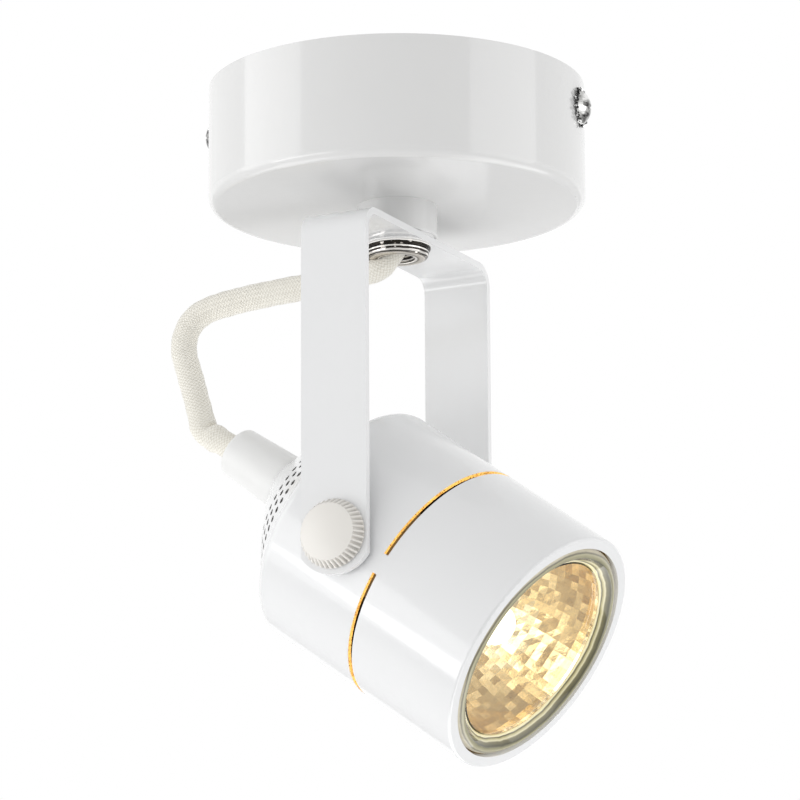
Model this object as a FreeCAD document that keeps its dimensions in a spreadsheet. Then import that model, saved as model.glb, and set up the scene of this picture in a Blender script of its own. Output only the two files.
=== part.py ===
import FreeCAD, Part
import math
import os
import re

import Sketcher
from FreeCAD import Vector

# Surface mounted ceiling spotlight: a round ceiling cup, a swivelling yoke and a tilting head.
# Millimetres, +Z up. The origin is on the ceiling, at the middle of the cup's open rim.
# The canopy frame is the row's own. The yoke frame is turned about Z as the yoke is at rest.
# The head frame starts at the pivot, its X along the lamp's beam and its Y along the pivot.

SIZES = {
    # name: (millimetres or degrees, what it is)
    "yoke_turn": (-11.0, "yoke's turn about the stem at rest, degrees"),
    "head_tilt": (35.4, "beam's angle below level at rest, degrees"),
    "canopy_radius": (41.0, "outside of the ceiling cup"),
    "canopy_depth": (26.5, "ceiling to the cup's flat bottom"),
    "canopy_wall": (1.2, "sheet of the cup"),
    "canopy_edge": (2.0, "outside rounding of the cup's bottom edge"),
    "side_screw_drop": (7.5, "ceiling to the cup's side screws"),
    "side_screw_radius": (2.0, "thread of a side screw"),
    "side_screw_length": (6.2, "side screw under its head"),
    "side_head_radius": (3.7, "head of a side screw"),
    "side_head_height": (1.9, "head of a side screw"),
    "side_slot_width": (1.0, "driver slot"),
    "side_slot_depth": (1.0, "driver slot"),
    "star_radius": (4.0, "toothed washer, tip of the teeth"),
    "star_tooth": (0.8, "depth of the teeth"),
    "star_sheet": (0.7, "thickness of the toothed washer"),
    "bracket_width": (18.0, "ceiling strap"),
    "bracket_sheet": (1.5, "ceiling strap"),
    "bracket_ear": (4.3, "ear below its tapped hole"),
    "cable_hole": (6.0, "radius of the supply cable's hole"),
    "fixing_pitch": (60.0, "between the two ceiling slots"),
    "fixing_slot": (10.0, "ceiling slot, end to end"),
    "fixing_radius": (2.25, "half the width of a ceiling slot"),
    "nipple_radius": (5.0, "outside of the threaded tube"),
    "nipple_bore": (3.5, "radius of the tube's bore"),
    "nipple_top": (7.0, "tube above the cup's bottom"),
    "mouth_flare": (0.3, "widening of the bore at its lower end"),
    "inner_washer_radius": (8.0, "washer in the cup"),
    "inner_washer_sheet": (0.8, "washer in the cup"),
    "locknut_flats": (14.0, "hexagon nut in the cup, across flats"),
    "locknut_height": (3.0, "hexagon nut in the cup"),
    "stem_radius": (8.7, "white spacer under the cup"),
    "stem_length": (7.0, "white spacer under the cup"),
    "stem_edge": (0.4, "rounding of the spacer's lower edge"),
    "slip_sheet": (0.4, "slip washer above the yoke"),
    "slip_radius": (8.0, "slip washer above the yoke"),
    "lower_washer_radius": (7.3, "plated washer under the yoke"),
    "lower_washer_sheet": (1.0, "plated washer under the yoke"),
    "lower_washer_edge": (0.45, "rounding of the plated washer"),
    "ring_nut_radius": (6.85, "round nut"),
    "ring_nut_height": (1.8, "round nut"),
    "ring_nut_top_edge": (0.35, "rounding of the round nut's upper edge"),
    "ring_nut_edge": (1.1, "rounding of the round nut's lower edge"),
    "ring_nut_lip": (0.6, "round nut's lip under the tube"),
    "ring_nut_bore": (3.8, "radius of the hole in the round nut's lip"),
    "ring_nut_bore_edge": (0.25, "rounding of the hole in the round nut's lip"),
    "strip_width": (15.4, "yoke strip"),
    "strip_sheet": (1.5, "yoke strip"),
    "yoke_inside": (57.0, "between the yoke's arms"),
    "yoke_height": (70.7, "top of the yoke to the pivot"),
    "bend_radius": (5.0, "outside of the yoke's bends"),
    "arm_tip": (8.5, "pivot to the end of an arm"),
    "arm_corner": (4.5, "pivot to where the arm's end starts to round"),
    "arm_arc": (9.4, "radius of an arm's end"),
    "running_gap": (0.06, "radial clearance where one piece turns on another"),
    "thread_gap": (0.03, "radial clearance of a thread, drawn plain"),
    "face_gap": (0.05, "between faces that slide past each other"),
    "housing_radius": (27.7, "outside of the head"),
    "housing_wall": (1.0, "sheet of the head"),
    "front_reach": (40.2, "pivot to the head's front rim"),
    "lip_depth": (1.4, "turned-in front lip"),
    "lip_radius": (25.15, "opening in the front lip"),
    "shoulder_reach": (14.9, "pivot back to the shoulder"),
    "shoulder_turn": (54.0, "how far the wall turns in at the shoulder, degrees"),
    "shoulder_edge": (2.2, "rounding of the shoulder"),
    "throat_radius": (24.3, "small end of the shoulder cone"),
    "throat_bore": (23.4, "opening for the vent cap"),
    "slot_reach": (11.85, "pivot to the middle of the ring slot"),
    "slot_width": (1.15, "ring slot"),
    "slot_sweep": (170.5, "angle of each half of the ring slot"),
    "cap_reach": (32.5, "pivot back to the vent cap's flat"),
    "cap_flat": (7.0, "radius of the vent cap's flat"),
    "cap_curve": (120.0, "radius of the vent cap's side"),
    "cap_wall": (0.8, "sheet of the vent cap"),
    "skirt_length": (1.5, "vent cap inside the head"),
    "skirt_wall": (0.5, "vent cap inside the head"),
    "vent_radius": (0.7, "small vent hole"),
    "vent_pitch": (2.35, "between rings of vent holes"),
    "boot_length": (15.8, "boot behind the vent cap"),
    "boot_front_radius": (6.4, "boot at the vent cap"),
    "boot_rear_radius": (5.6, "boot at its rear"),
    "boot_edge": (0.9, "rounding of the boot's rear"),
    "boot_bore": (3.0, "radius of the boot's bore"),
    "boot_mouth": (0.5, "widening of the bore at the rear"),
    "stub_radius": (4.0, "threaded stub of the boot"),
    "stub_length": (7.0, "threaded stub of the boot"),
    "boot_nut_flats": (12.0, "nut on the stub, across flats"),
    "boot_nut_height": (3.0, "nut on the stub"),
    "cord_radius": (2.85, "braided lead"),
    "core_radius": (0.85, "insulated core"),
    "bush_radius": (3.0, "pivot bush through the head's wall"),
    "bush_flange_radius": (4.5, "pivot bush inside"),
    "bush_flange": (3.1, "length of the bush's flange"),
    "stud_radius": (2.0, "knob's threaded stud"),
    "stud_grip": (5.0, "stud inside the bush"),
    "spacer_sheet": (0.7, "pivot washer"),
    "spacer_radius": (5.5, "pivot washer"),
    "knob_radius": (7.45, "knob at its foot"),
    "knob_rim": (3.05, "height of the knob's tapered rim"),
    "knob_face_radius": (6.05, "knob where its face starts"),
    "knob_crown": (1.5, "rise of the knob's face"),
    "knob_socket": (3.0, "stud inside the knob"),
    "carrier_width": (10.0, "strap that carries the lampholder"),
    "carrier_sheet": (1.0, "strap that carries the lampholder"),
    "carrier_out": (26.1, "outside of the strap's legs"),
    "carrier_end": (5.0, "strap's legs past the pivot"),
    "carrier_knee": (12.0, "pivot back to the legs' knees"),
    "carrier_seat": (16.4, "half of the strap's seat"),
    "carrier_window": (3.6, "wire hole in the seat"),
    "holder_radius": (12.3, "lampholder"),
    "holder_face": (8.2, "pivot back to the lampholder's face"),
    "holder_length": (10.7, "lampholder"),
    "holder_screw_reach": (8.75, "middle to a lampholder screw"),
    "holder_screw_radius": (1.3, "lampholder screw"),
    "holder_head_radius": (2.4, "head of a lampholder screw"),
    "holder_head_height": (1.4, "head of a lampholder screw"),
    "pin_reach": (5.0, "middle to a lamp pin"),
    "pin_slot": (2.8, "half width of the holder's pin slots"),
    "pin_slot_sweep": (98.0, "sweep of the holder's pin slots, degrees"),
    "pin_slot_depth": (8.2, "holder's pin slots"),
    "contact_sheet": (0.8, "contact plate"),
    "contact_radius": (2.5, "contact plate"),
    "wire_reach": (2.6, "middle to a wire at the lampholder"),
    "lamp_radius": (24.9, "reflector lamp"),
    "lamp_proud": (0.15, "lamp's glass in front of the rim"),
    "glass_depth": (4.35, "rim of the front glass"),
    "glass_dish": (1.75, "front glass below its rim"),
    "glass_face_radius": (21.0, "flat of the front glass"),
    "glass_edge": (1.8, "rounding of the front glass"),
    "bowl_rim": (3.0, "straight rim of the reflector"),
    "bowl_curve": (48.0, "radius of the reflector's side"),
    "bowl_wall": (1.3, "reflector glass"),
    "bowl_foot": (12.0, "reflector at the lamp base"),
    "bowl_hole": (5.0, "capsule's hole in the reflector"),
    "base_front": (7.0, "pivot to the front of the lamp base"),
    "base_rear": (8.0, "pivot back to the rear of the lamp base"),
    "base_radius": (12.2, "lamp base, front"),
    "base_rear_radius": (9.6, "lamp base, rear"),
    "base_wall": (1.6, "lamp base"),
    "base_floor": (3.5, "lamp base"),
    "pin_neck": (1.5, "radius of a lamp pin"),
    "pin_neck_length": (5.0, "lamp pin behind the base"),
    "pin_head": (2.5, "radius of a pin's head"),
    "pin_head_length": (2.3, "pin's head"),
    "capsule_radius": (4.6, "halogen capsule"),
    "capsule_wall": (0.7, "halogen capsule"),
    "capsule_shoulder": (26.0, "pivot to the capsule's dome"),
    "filament_reach": (22.5, "pivot to the filament"),
    "filament_radius": (0.55, "filament coil"),
    "filament_half": (1.6, "half of the filament"),
    "leg_radius": (0.25, "filament's legs"),
    "block_start": (9.0, "middle to the terminal block"),
    "block_length": (15.0, "terminal block along the strap"),
    "block_half_width": (9.0, "terminal block"),
    "block_height": (11.0, "terminal block"),
    "pole_reach": (4.5, "middle to a pole of the terminal block"),
    "pole_drop": (4.0, "strap to the middle of a pole"),
    "clamp_radius": (2.3, "brass clamp"),
    "clamp_bore": (1.3, "brass clamp"),
    "clamp_inset": (1.0, "clamp inside the block's end"),
    "clamp_screw_radius": (1.2, "clamp screw"),
    "clamp_screw_inset": (3.5, "block's end to a clamp screw"),
    "clamp_screw_sink": (0.6, "clamp screw below the block's face"),
    "block_screw_radius": (1.0, "screw that holds the block"),
    "block_screw_head": (1.8, "head of the screw that holds the block"),
    "grip_radius": (7.0, "lead clamp"),
    "grip_height": (6.0, "lead clamp"),
    "grip_screw_radius": (1.5, "lead clamp's screw"),
    "grip_screw_length": (6.6, "lead clamp's screw"),
    "earth_place": (14.0, "middle to the earth screw"),
    "earth_radius": (2.0, "earth screw"),
    "earth_length": (5.0, "earth screw under its head"),
    "earth_head_radius": (3.6, "earth screw"),
    "earth_head_height": (2.0, "earth screw"),
    "tag_sheet": (0.8, "ring terminal"),
    "tag_radius": (3.4, "ring terminal"),
    "tag_tail": (8.0, "ring terminal's crimp from its screw"),
    "sleeve_stop": (12.5, "ceiling to the end of the braid in the cup"),
    "lead_turn": (57.0, "pivot back to the lead's turn behind the boot"),
    "lead_joint": (47.0, "pivot back to where the lead's two parts meet in the boot"),
}

VENT_RINGS = ((0, 62), (1, 52), (2, 45))   # ring from the outside in, holes in it
ARC_SHARE = 0.45   # how much of the shorter run an arc of a lead takes up
STAR_TEETH = 14

# lengths that follow from the sizes, as formulas
CUP_FLOOR = "(canopy_wall - canopy_depth)"
NIPPLE_TOP = "(nipple_top - canopy_depth)"
LOCKNUT_FLOOR = f"({CUP_FLOOR} + inner_washer_sheet)"
YOKE_TOP = "(-canopy_depth - stem_length - slip_sheet)"
YOKE_UNDER = f"({YOKE_TOP} - strip_sheet)"
WASHER_UNDER = f"({YOKE_UNDER} - lower_washer_sheet)"
NUT_UNDER = f"({WASHER_UNDER} - ring_nut_height)"
NIPPLE_END = f"({NUT_UNDER} + ring_nut_lip)"
PIVOT = f"({YOKE_TOP} - yoke_height)"
NIPPLE_HOLE = "(nipple_radius + thread_gap)"
ARM_OUT = "(yoke_inside / 2 + strip_sheet)"
EAR_OUT = "(sqrt((canopy_radius - canopy_wall)^2 - bracket_width^2 / 4) - 0.15)"
HOUSING_INSIDE = "(housing_radius - housing_wall)"
THROAT = "(shoulder_reach + (housing_radius - throat_radius) / tan(shoulder_turn))"
BOOT_REAR = "(-cap_reach - boot_length)"
BUSH_END = "(yoke_inside / 2 - face_gap)"
CARRIER_IN = "(carrier_out - carrier_sheet)"
HOLDER_BACK = "(holder_face + holder_length)"
CARRIER_BACK = f"({HOLDER_BACK} + carrier_sheet)"
CONTACT_SEAT = "(-holder_face - pin_slot_depth)"
KNOB_FOOT = f"({ARM_OUT} + face_gap)"
GLASS_FRONT = "(front_reach + lamp_proud)"
GLASS_BACK = f"({GLASS_FRONT} - glass_depth)"
BASE_FLOOR = "(base_floor - base_rear)"
POLE = "(-bracket_sheet - pole_drop)"
BLOCK_UNDER = "(-bracket_sheet - block_height)"

# the lead outside: from the stem, round behind the head and into the boot, in the yoke frame
LEAD_ROUTE = (
    (0, 0, -30.7),
    (0, 0, -43.3),
    (-24, 0, -42.6),
    (-41.5, 0, -42.7),
    (-53.4, 0, -47.8),
    (-51.0, 0, -58.8),
    ("-lead_turn * cos(head_tilt)", 0, f"{PIVOT} + lead_turn * sin(head_tilt)"),
    ("-lead_joint * cos(head_tilt)", 0, f"{PIVOT} + lead_joint * sin(head_tilt)"),
)

FRAMES = {
    "canopy": "create(<<rotation>>; 0; 0; 0)",
    "yoke": "create(<<rotation>>; yoke_turn; 0; 0)",
    "head": "create(<<rotation>>; yoke_turn; head_tilt; 0)",
}
FRAME_STARTS = {"canopy": "0", "yoke": "0", "head": PIVOT}

AXIS_TURNS = {"X": "0; 90; 0", "Y": "0; 0; -90", "Z": "0; 0; 0"}

doc = FreeCAD.newDocument("CeilingSpotlight")
sheet = doc.addObject("Spreadsheet::Sheet", "Sizes")
for row, (name, (amount, note)) in enumerate(SIZES.items(), start=1):
    sheet.set(f"A{row}", name)
    sheet.set(f"B{row}", str(amount))
    sheet.setAlias(f"B{row}", name)
    sheet.set(f"C{row}", note)
doc.recompute()

pieces = []


def formula(words):
    """The words with every size's name pointed at the sheet."""
    def named(found):
        return "Sizes." + found.group() if found.group() in SIZES else found.group()
    return re.sub(r"[a-z_]+", named, words)


def number(words):
    """What a formula comes to, in millimetres or degrees."""
    found = sheet.evalExpression(formula(str(words)))
    return float(getattr(found, "Value", found))


def keep(shape_object, node, frame):
    """Name a finished sub-part and put it in its frame."""
    start = FRAME_STARTS[frame]
    if shape_object.isDerivedFrom("Part::Primitive"):
        shape_object = together(shape_object)
    shape_object.Label = node
    shape_object.setExpression("Placement", formula(
        f"create(<<placement>>; create(<<vector>>; 0; 0; {start}); {FRAMES[frame]})"))
    pieces.append(shape_object)


class Piece:
    """One sub-part made as a body, drawn on its own origin planes."""

    def __init__(self, node, frame):
        self.body = doc.addObject("PartDesign::Body", node)
        keep(self.body, node, frame)

    def origin(self, role):
        return next(item for item in self.body.Origin.OriginFeatures if item.Role == role)

    def sketch(self, plane):
        sketch = self.body.newObject("Sketcher::SketchObject", "Sketch")
        sketch.AttachmentSupport = [(self.origin(plane), "")]
        sketch.MapMode = "FlatFace"
        return sketch

    def outline(self, plane, corners):
        """A closed outline. A corner of three values is reached by an arc of that radius."""
        sketch = self.sketch(plane)
        points = [Vector(number(corner[0]), number(corner[1]), 0) for corner in corners]
        for index, corner in enumerate(corners):
            start, end = points[index - 1], points[index]
            if len(corner) == 2:
                sketch.addGeometry(Part.LineSegment(start, end), False)
            else:
                sketch.addGeometry(arc_between(start, end, number(corner[2])), False)
        for index, corner in enumerate(corners):
            after = (index + 1) % len(corners)
            here = end_near(sketch, index, points[index])
            there = end_near(sketch, after, points[index])
            sketch.addConstraint(Sketcher.Constraint("Coincident", index, here, after, there))
            for kind, part in (("DistanceX", 0), ("DistanceY", 1)):
                place = sketch.addConstraint(
                    Sketcher.Constraint(kind, -1, 1, index, here, points[index][part]))
                sketch.setExpression(f"Constraints[{place}]", formula(str(corner[part])))
            if len(corner) == 3:
                place = sketch.addConstraint(
                    Sketcher.Constraint("Radius", index, abs(number(corner[2]))))
                sketch.setExpression(f"Constraints[{place}]", formula(f"abs({corner[2]})"))
        return sketch

    def circles(self, plane, spots, radius):
        """Round outlines of one radius, each centred at a spot."""
        sketch = self.sketch(plane)
        for index, spot in enumerate(spots):
            centre = Vector(number(spot[0]), number(spot[1]), 0)
            sketch.addGeometry(Part.Circle(centre, Vector(0, 0, 1), number(radius)), False)
            for kind, part in (("DistanceX", 0), ("DistanceY", 1)):
                place = sketch.addConstraint(
                    Sketcher.Constraint(kind, -1, 1, index, 3, centre[part]))
                sketch.setExpression(f"Constraints[{place}]", formula(str(spot[part])))
            place = sketch.addConstraint(Sketcher.Constraint("Radius", index, number(radius)))
            sketch.setExpression(f"Constraints[{place}]", formula(str(radius)))
        return sketch

    def revolve(self, plane, corners, axis):
        """A turned piece: the outline spun about one of the sketch's axes."""
        sketch = self.outline(plane, corners)
        spun = self.body.newObject("PartDesign::Revolution", "Revolution")
        spun.Profile = sketch
        spun.ReferenceAxis = (sketch, [axis])
        spun.Angle = 360
        return self

    def pad(self, sketch, length):
        padded = self.body.newObject("PartDesign::Pad", "Pad")
        padded.Profile = sketch
        padded.Midplane = True
        padded.setExpression("Length", formula(length))
        return padded

    def pocket(self, sketch, length, both_ways=True):
        """A cut along the sketch's normal, both ways or against it only."""
        cut = self.body.newObject("PartDesign::Pocket", "Pocket")
        cut.Profile = sketch
        cut.Midplane = both_ways
        cut.setExpression("Length", formula(length))
        return cut

    def around(self, feature, role, count):
        """Repeat a feature evenly about an origin axis."""
        ring = self.body.newObject("PartDesign::PolarPattern", "PolarPattern")
        ring.Originals = [feature]
        ring.Axis = (self.origin(role), [""])
        ring.Angle = 360
        ring.Occurrences = count
        self.body.Tip = ring
        return ring

    def round_rings(self, radius, rings):
        """Round the circular edges of each radius and place along the turning axis."""
        doc.recompute()
        tip = self.body.Tip
        names = []
        for along, wanted in rings:
            for index, edge in enumerate(tip.Shape.Edges, start=1):
                if is_ring(edge, number(along), number(wanted)):
                    names.append(f"Edge{index}")
        fillet = self.body.newObject("PartDesign::Fillet", "Fillet")
        fillet.Base = (tip, names)
        fillet.setExpression("Radius", formula(radius))


def is_ring(edge, along, radius):
    """Whether an edge is a full circle of that radius, at that place along its own axis."""
    if not isinstance(edge.Curve, Part.Circle):
        return False
    circle = edge.Curve
    place = circle.Center.dot(Vector(abs(circle.Axis.x), abs(circle.Axis.y), abs(circle.Axis.z)))
    return abs(circle.Radius - radius) < 1e-4 and abs(place - along) < 1e-4


def arc_between(start, end, radius):
    """An arc of that radius from start to end. A negative radius bulges to the chord's other side."""
    chord = end.sub(start)
    half = chord.Length / 2
    rise = abs(radius) - math.sqrt(max(radius ** 2 - half ** 2, 0))
    side = Vector(chord.y, -chord.x, 0).normalize() * math.copysign(rise, radius)
    middle = (start + end) * 0.5 + side
    return Part.Arc(start, middle, end)


def end_near(sketch, index, point):
    """Which end of a sketch line or arc is at the point."""
    first = sketch.getPoint(index, 1).sub(point).Length
    return 1 if first < sketch.getPoint(index, 2).sub(point).Length else 2


def spot(x, y, z, turn="0; 0; 0"):
    return formula(
        f"create(<<placement>>; create(<<vector>>; {x}; {y}; {z}); create(<<rotation>>; {turn}))")


def rod(axis, low, high, radius, aside=("0", "0")):
    """A round bar along an axis from low to high, its middle line moved aside by two lengths."""
    bar = doc.addObject("Part::Cylinder", "Rod")
    bar.setExpression("Radius", formula(radius))
    bar.setExpression("Height", formula(f"({high}) - ({low})"))
    place = {"X": (low, *aside), "Y": (aside[0], low, aside[1]), "Z": (*aside, low)}[axis]
    bar.setExpression("Placement", spot(*place, AXIS_TURNS[axis]))
    return bar


def hexagon(axis, low, high, flats):
    """A hexagonal bar along an axis from low to high."""
    bar = doc.addObject("Part::Prism", "Hexagon")
    bar.Polygon = 6
    bar.setExpression("Circumradius", formula(f"{flats} / (2 * cos(30))"))
    bar.setExpression("Height", formula(f"({high}) - ({low})"))
    place = {"X": (low, "0", "0"), "Z": ("0", "0", low)}[axis]
    bar.setExpression("Placement", spot(*place, AXIS_TURNS[axis]))
    return bar


def box(low, high):
    """A block between two corners."""
    block = doc.addObject("Part::Box", "Block")
    for side, start, end in zip(("Length", "Width", "Height"), low, high):
        block.setExpression(side, formula(f"({end}) - ({start})"))
    block.setExpression("Placement", spot(*low))
    return block


def cut(base, *tools):
    """The base less every tool."""
    for tool in tools:
        less = doc.addObject("Part::Cut", "Cut")
        less.Base = base
        less.Tool = tool
        base = less
    return base


def fuse(*solids):
    joined = doc.addObject("Part::MultiFuse", "Fuse")
    joined.Shapes = list(solids)
    return joined


def together(*solids):
    """Separate solids kept as one node."""
    group = doc.addObject("Part::Compound", "Group")
    group.Links = list(solids)
    return group


def ring(axis, low, high, outside, inside):
    """A washer or sleeve along an axis."""
    return cut(rod(axis, low, high, outside), rod(axis, f"{low} - 1", f"{high} + 1", inside))


def lead(node, frame, routes, radius):
    """Round leads, each along straight runs that tangent arcs join."""
    solids = []
    for route in routes:
        points = [Vector(*(number(value) for value in point)) for point in route]
        edges = []
        bends = []
        start = points[0]
        for before, corner, after in zip(points, points[1:], points[2:]):
            into = corner.sub(before)
            out = after.sub(corner)
            half_turn = into.getAngle(out) / 2
            reach = ARC_SHARE * min(into.Length, out.Length)
            bend = reach / math.tan(half_turn)
            bends.append(bend)
            into.normalize()
            out.normalize()
            first = corner - into * reach
            last = corner + out * reach
            inward = out.sub(into).normalize()
            middle = corner + inward * (bend / math.cos(half_turn) - bend)
            edges.append(Part.LineSegment(start, first).toShape())
            edges.append(Part.Arc(first, middle, last).toShape())
            start = last
        edges.append(Part.LineSegment(start, points[-1]).toShape())
        path = Part.Wire(edges)
        section = Part.Wire([Part.makeCircle(number(radius), points[0], points[1].sub(points[0]))])
        solid = path.makePipeShell([section], True, False)
        expected = math.pi * number(radius) ** 2 * path.Length
        print(f"{node}: length {path.Length:.1f}, bends " + ", ".join(f"{bend:.1f}" for bend in bends)
              + f", volume {solid.Volume / expected:.4f} of section times length")
        solids.append(solid)
    tube = doc.addObject("Part::Feature", node)
    tube.Shape = solids[0] if len(solids) == 1 else Part.makeCompound(solids)
    keep(tube, node, frame)


# ceiling strap: a flat bar with slots for the ceiling screws and an ear down at each end
def make_ceiling_bracket():
    strap = Piece("ceiling_bracket", "canopy")
    inner = f"({EAR_OUT} - bracket_sheet)"
    ear = "(-side_screw_drop - bracket_ear)"
    strap.pad(strap.outline("XZ_Plane", [
        (EAR_OUT, ear), (EAR_OUT, 0), (f"-{EAR_OUT}", 0), (f"-{EAR_OUT}", ear),
        (f"-{inner}", ear), (f"-{inner}", "-bracket_sheet"), (inner, "-bracket_sheet"), (inner, ear),
    ]), "bracket_width")
    slot_end = "(fixing_radius * 1.0001)"
    for side in ("", "-"):
        near = f"{side}(fixing_pitch / 2 - fixing_slot / 2 + fixing_radius)"
        far = f"{side}(fixing_pitch / 2 + fixing_slot / 2 - fixing_radius)"
        bulge = f"-{slot_end}" if side else slot_end
        strap.pocket(strap.outline("XY_Plane", [
            (near, "fixing_radius"), (near, "-fixing_radius", bulge),
            (far, "-fixing_radius"), (far, "fixing_radius", bulge),
        ]), "4 * bracket_sheet")
    strap.pocket(strap.circles("XY_Plane", [("0", "0")], "cable_hole"), "4 * bracket_sheet")
    strap.pocket(strap.circles("XY_Plane", [("-earth_place", "0")], "earth_radius + thread_gap"),
                 "4 * bracket_sheet")
    strap.pocket(strap.circles("XY_Plane", [("block_start + block_length / 2", "0")],
                               "block_screw_radius + thread_gap"), "4 * bracket_sheet")
    strap.pocket(strap.circles("YZ_Plane", [("0", "-side_screw_drop")],
                               "side_screw_radius + thread_gap"), "3 * canopy_radius")


# ceiling cup: pressed sheet, open towards the ceiling
def make_canopy_cover():
    cup = Piece("canopy_cover", "canopy")
    inside = "(canopy_radius - canopy_wall)"
    cup.revolve("XZ_Plane", [
        (NIPPLE_HOLE, "-canopy_depth"), ("canopy_radius", "-canopy_depth"), ("canopy_radius", 0),
        (inside, 0), (inside, CUP_FLOOR), (NIPPLE_HOLE, CUP_FLOOR),
    ], "V_Axis")
    cup.round_rings("canopy_edge", [("-canopy_depth", "canopy_radius")])
    cup.round_rings("canopy_edge - canopy_wall", [(CUP_FLOOR, inside)])
    cup.pocket(cup.circles("YZ_Plane", [("0", "-side_screw_drop")],
                           "side_screw_radius + face_gap"), "3 * canopy_radius")


# side screws: slotted domed heads on toothed washers, through the cup into the strap's ears
def make_side_screws():
    screws = []
    stars = []
    aside = ("0", "-side_screw_drop")
    head = "(canopy_radius + star_sheet)"
    for turn in ("0; 0; 0", "180; 0; 0"):
        shank = rod("X", f"{head} - side_screw_length", head, "side_screw_radius", aside)
        dome = rod("X", head, f"{head} + side_head_height", "side_head_radius", aside)
        ball_radius = "((side_head_radius^2 + side_head_height^2) / (2 * side_head_height))"
        ball = doc.addObject("Part::Sphere", "Ball")
        ball.setExpression("Radius", formula(ball_radius))
        ball.setExpression("Placement", spot(
            f"{head} + side_head_height - {ball_radius}", *aside))
        cap = doc.addObject("Part::Common", "Dome")
        cap.Base = dome
        cap.Tool = ball
        slot = box((f"{head} + side_head_height - side_slot_depth", "-side_head_radius",
                    "-side_screw_drop - side_slot_width / 2"),
                   (f"{head} + side_head_height + 1", "side_head_radius",
                    "-side_screw_drop + side_slot_width / 2"))
        screw = cut(fuse(shank, cap), slot)
        screw.setExpression("Placement", spot("0", "0", "0", turn))
        screws.append(screw)
        star = cut(rod("X", "canopy_radius", head, "star_radius", aside),
                   rod("X", "canopy_radius - 1", f"{head} + 1", "side_screw_radius + face_gap", aside))
        for tooth in range(STAR_TEETH):
            angle = 360 * tooth / STAR_TEETH
            gap = rod("X", "canopy_radius - 1", f"{head} + 1", "star_tooth / 2",
                      (f"star_radius * cos({angle})",
                       f"star_radius * sin({angle}) - side_screw_drop"))
            star = cut(star, gap)
        star.setExpression("Placement", spot("0", "0", "0", turn))
        stars.append(star)
    keep(together(*screws), "canopy_screws", "canopy")
    keep(together(*stars), "canopy_star_washers", "canopy")


# stem: a hollow threaded tube through the cup, a white spacer and the yoke, with its nuts and washers
def make_stem():
    nipple = Piece("threaded_nipple", "canopy")
    nipple.revolve("XZ_Plane", [
        ("nipple_bore", NIPPLE_TOP), ("nipple_radius", NIPPLE_TOP), ("nipple_radius", NIPPLE_END),
        ("nipple_bore + mouth_flare", NIPPLE_END), ("nipple_bore", f"{NIPPLE_END} + mouth_flare"),
    ], "V_Axis")
    spacer = Piece("stem_spacer", "canopy")
    under = "(-canopy_depth - stem_length)"
    spacer.revolve("XZ_Plane", [
        (NIPPLE_HOLE, "-canopy_depth"), ("stem_radius", "-canopy_depth"), ("stem_radius", under),
        (NIPPLE_HOLE, under),
    ], "V_Axis")
    spacer.round_rings("stem_edge", [(under, "stem_radius")])
    nut = Piece("swivel_ring_nut", "canopy")
    nut.revolve("XZ_Plane", [
        (NIPPLE_HOLE, WASHER_UNDER), ("ring_nut_radius", WASHER_UNDER),
        ("ring_nut_radius", NUT_UNDER), ("ring_nut_bore", NUT_UNDER),
        ("ring_nut_bore", NIPPLE_END), (NIPPLE_HOLE, NIPPLE_END),
    ], "V_Axis")
    nut.round_rings("ring_nut_top_edge", [(WASHER_UNDER, "ring_nut_radius")])
    nut.round_rings("ring_nut_edge", [(NUT_UNDER, "ring_nut_radius")])
    nut.round_rings("ring_nut_bore_edge", [(NUT_UNDER, "ring_nut_bore")])
    washer = Piece("swivel_lower_washer", "canopy")
    washer.revolve("XZ_Plane", [
        (NIPPLE_HOLE, YOKE_UNDER), ("lower_washer_radius", YOKE_UNDER),
        ("lower_washer_radius", WASHER_UNDER), (NIPPLE_HOLE, WASHER_UNDER),
    ], "V_Axis")
    washer.round_rings("lower_washer_edge", [(YOKE_UNDER, "lower_washer_radius"),
                                             (WASHER_UNDER, "lower_washer_radius")])
    keep(ring("Z", CUP_FLOOR, LOCKNUT_FLOOR, "inner_washer_radius", NIPPLE_HOLE),
         "inner_lock_washer", "canopy")
    keep(cut(hexagon("Z", LOCKNUT_FLOOR, f"{LOCKNUT_FLOOR} + locknut_height", "locknut_flats"),
             rod("Z", CUP_FLOOR, NIPPLE_TOP, NIPPLE_HOLE)), "inner_locknut", "canopy")
    keep(ring("Z", YOKE_TOP, f"{YOKE_TOP} + slip_sheet", "slip_radius", NIPPLE_HOLE),
         "swivel_upper_washer", "canopy")


# lead clamp on top of the tube, and the lead's covered end inside it
def make_lead_clamp():
    top = f"({NIPPLE_TOP} + grip_height)"
    middle = f"({NIPPLE_TOP} + grip_height / 2)"
    collar = ring("Z", NIPPLE_TOP, top, "grip_radius", "cord_radius + thread_gap")
    tip = "(-cord_radius - thread_gap)"
    hole = rod("Y", "-2 * grip_radius", tip, "grip_screw_radius + thread_gap", ("0", middle))
    keep(cut(collar, hole), "cord_grip", "canopy")
    keep(rod("Y", f"{tip} - grip_screw_length", tip, "grip_screw_radius", ("0", middle)),
         "cord_grip_screw", "canopy")
    keep(rod("Z", str(LEAD_ROUTE[0][2]), "-sleeve_stop", "cord_radius"), "canopy_cord", "canopy")


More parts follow.
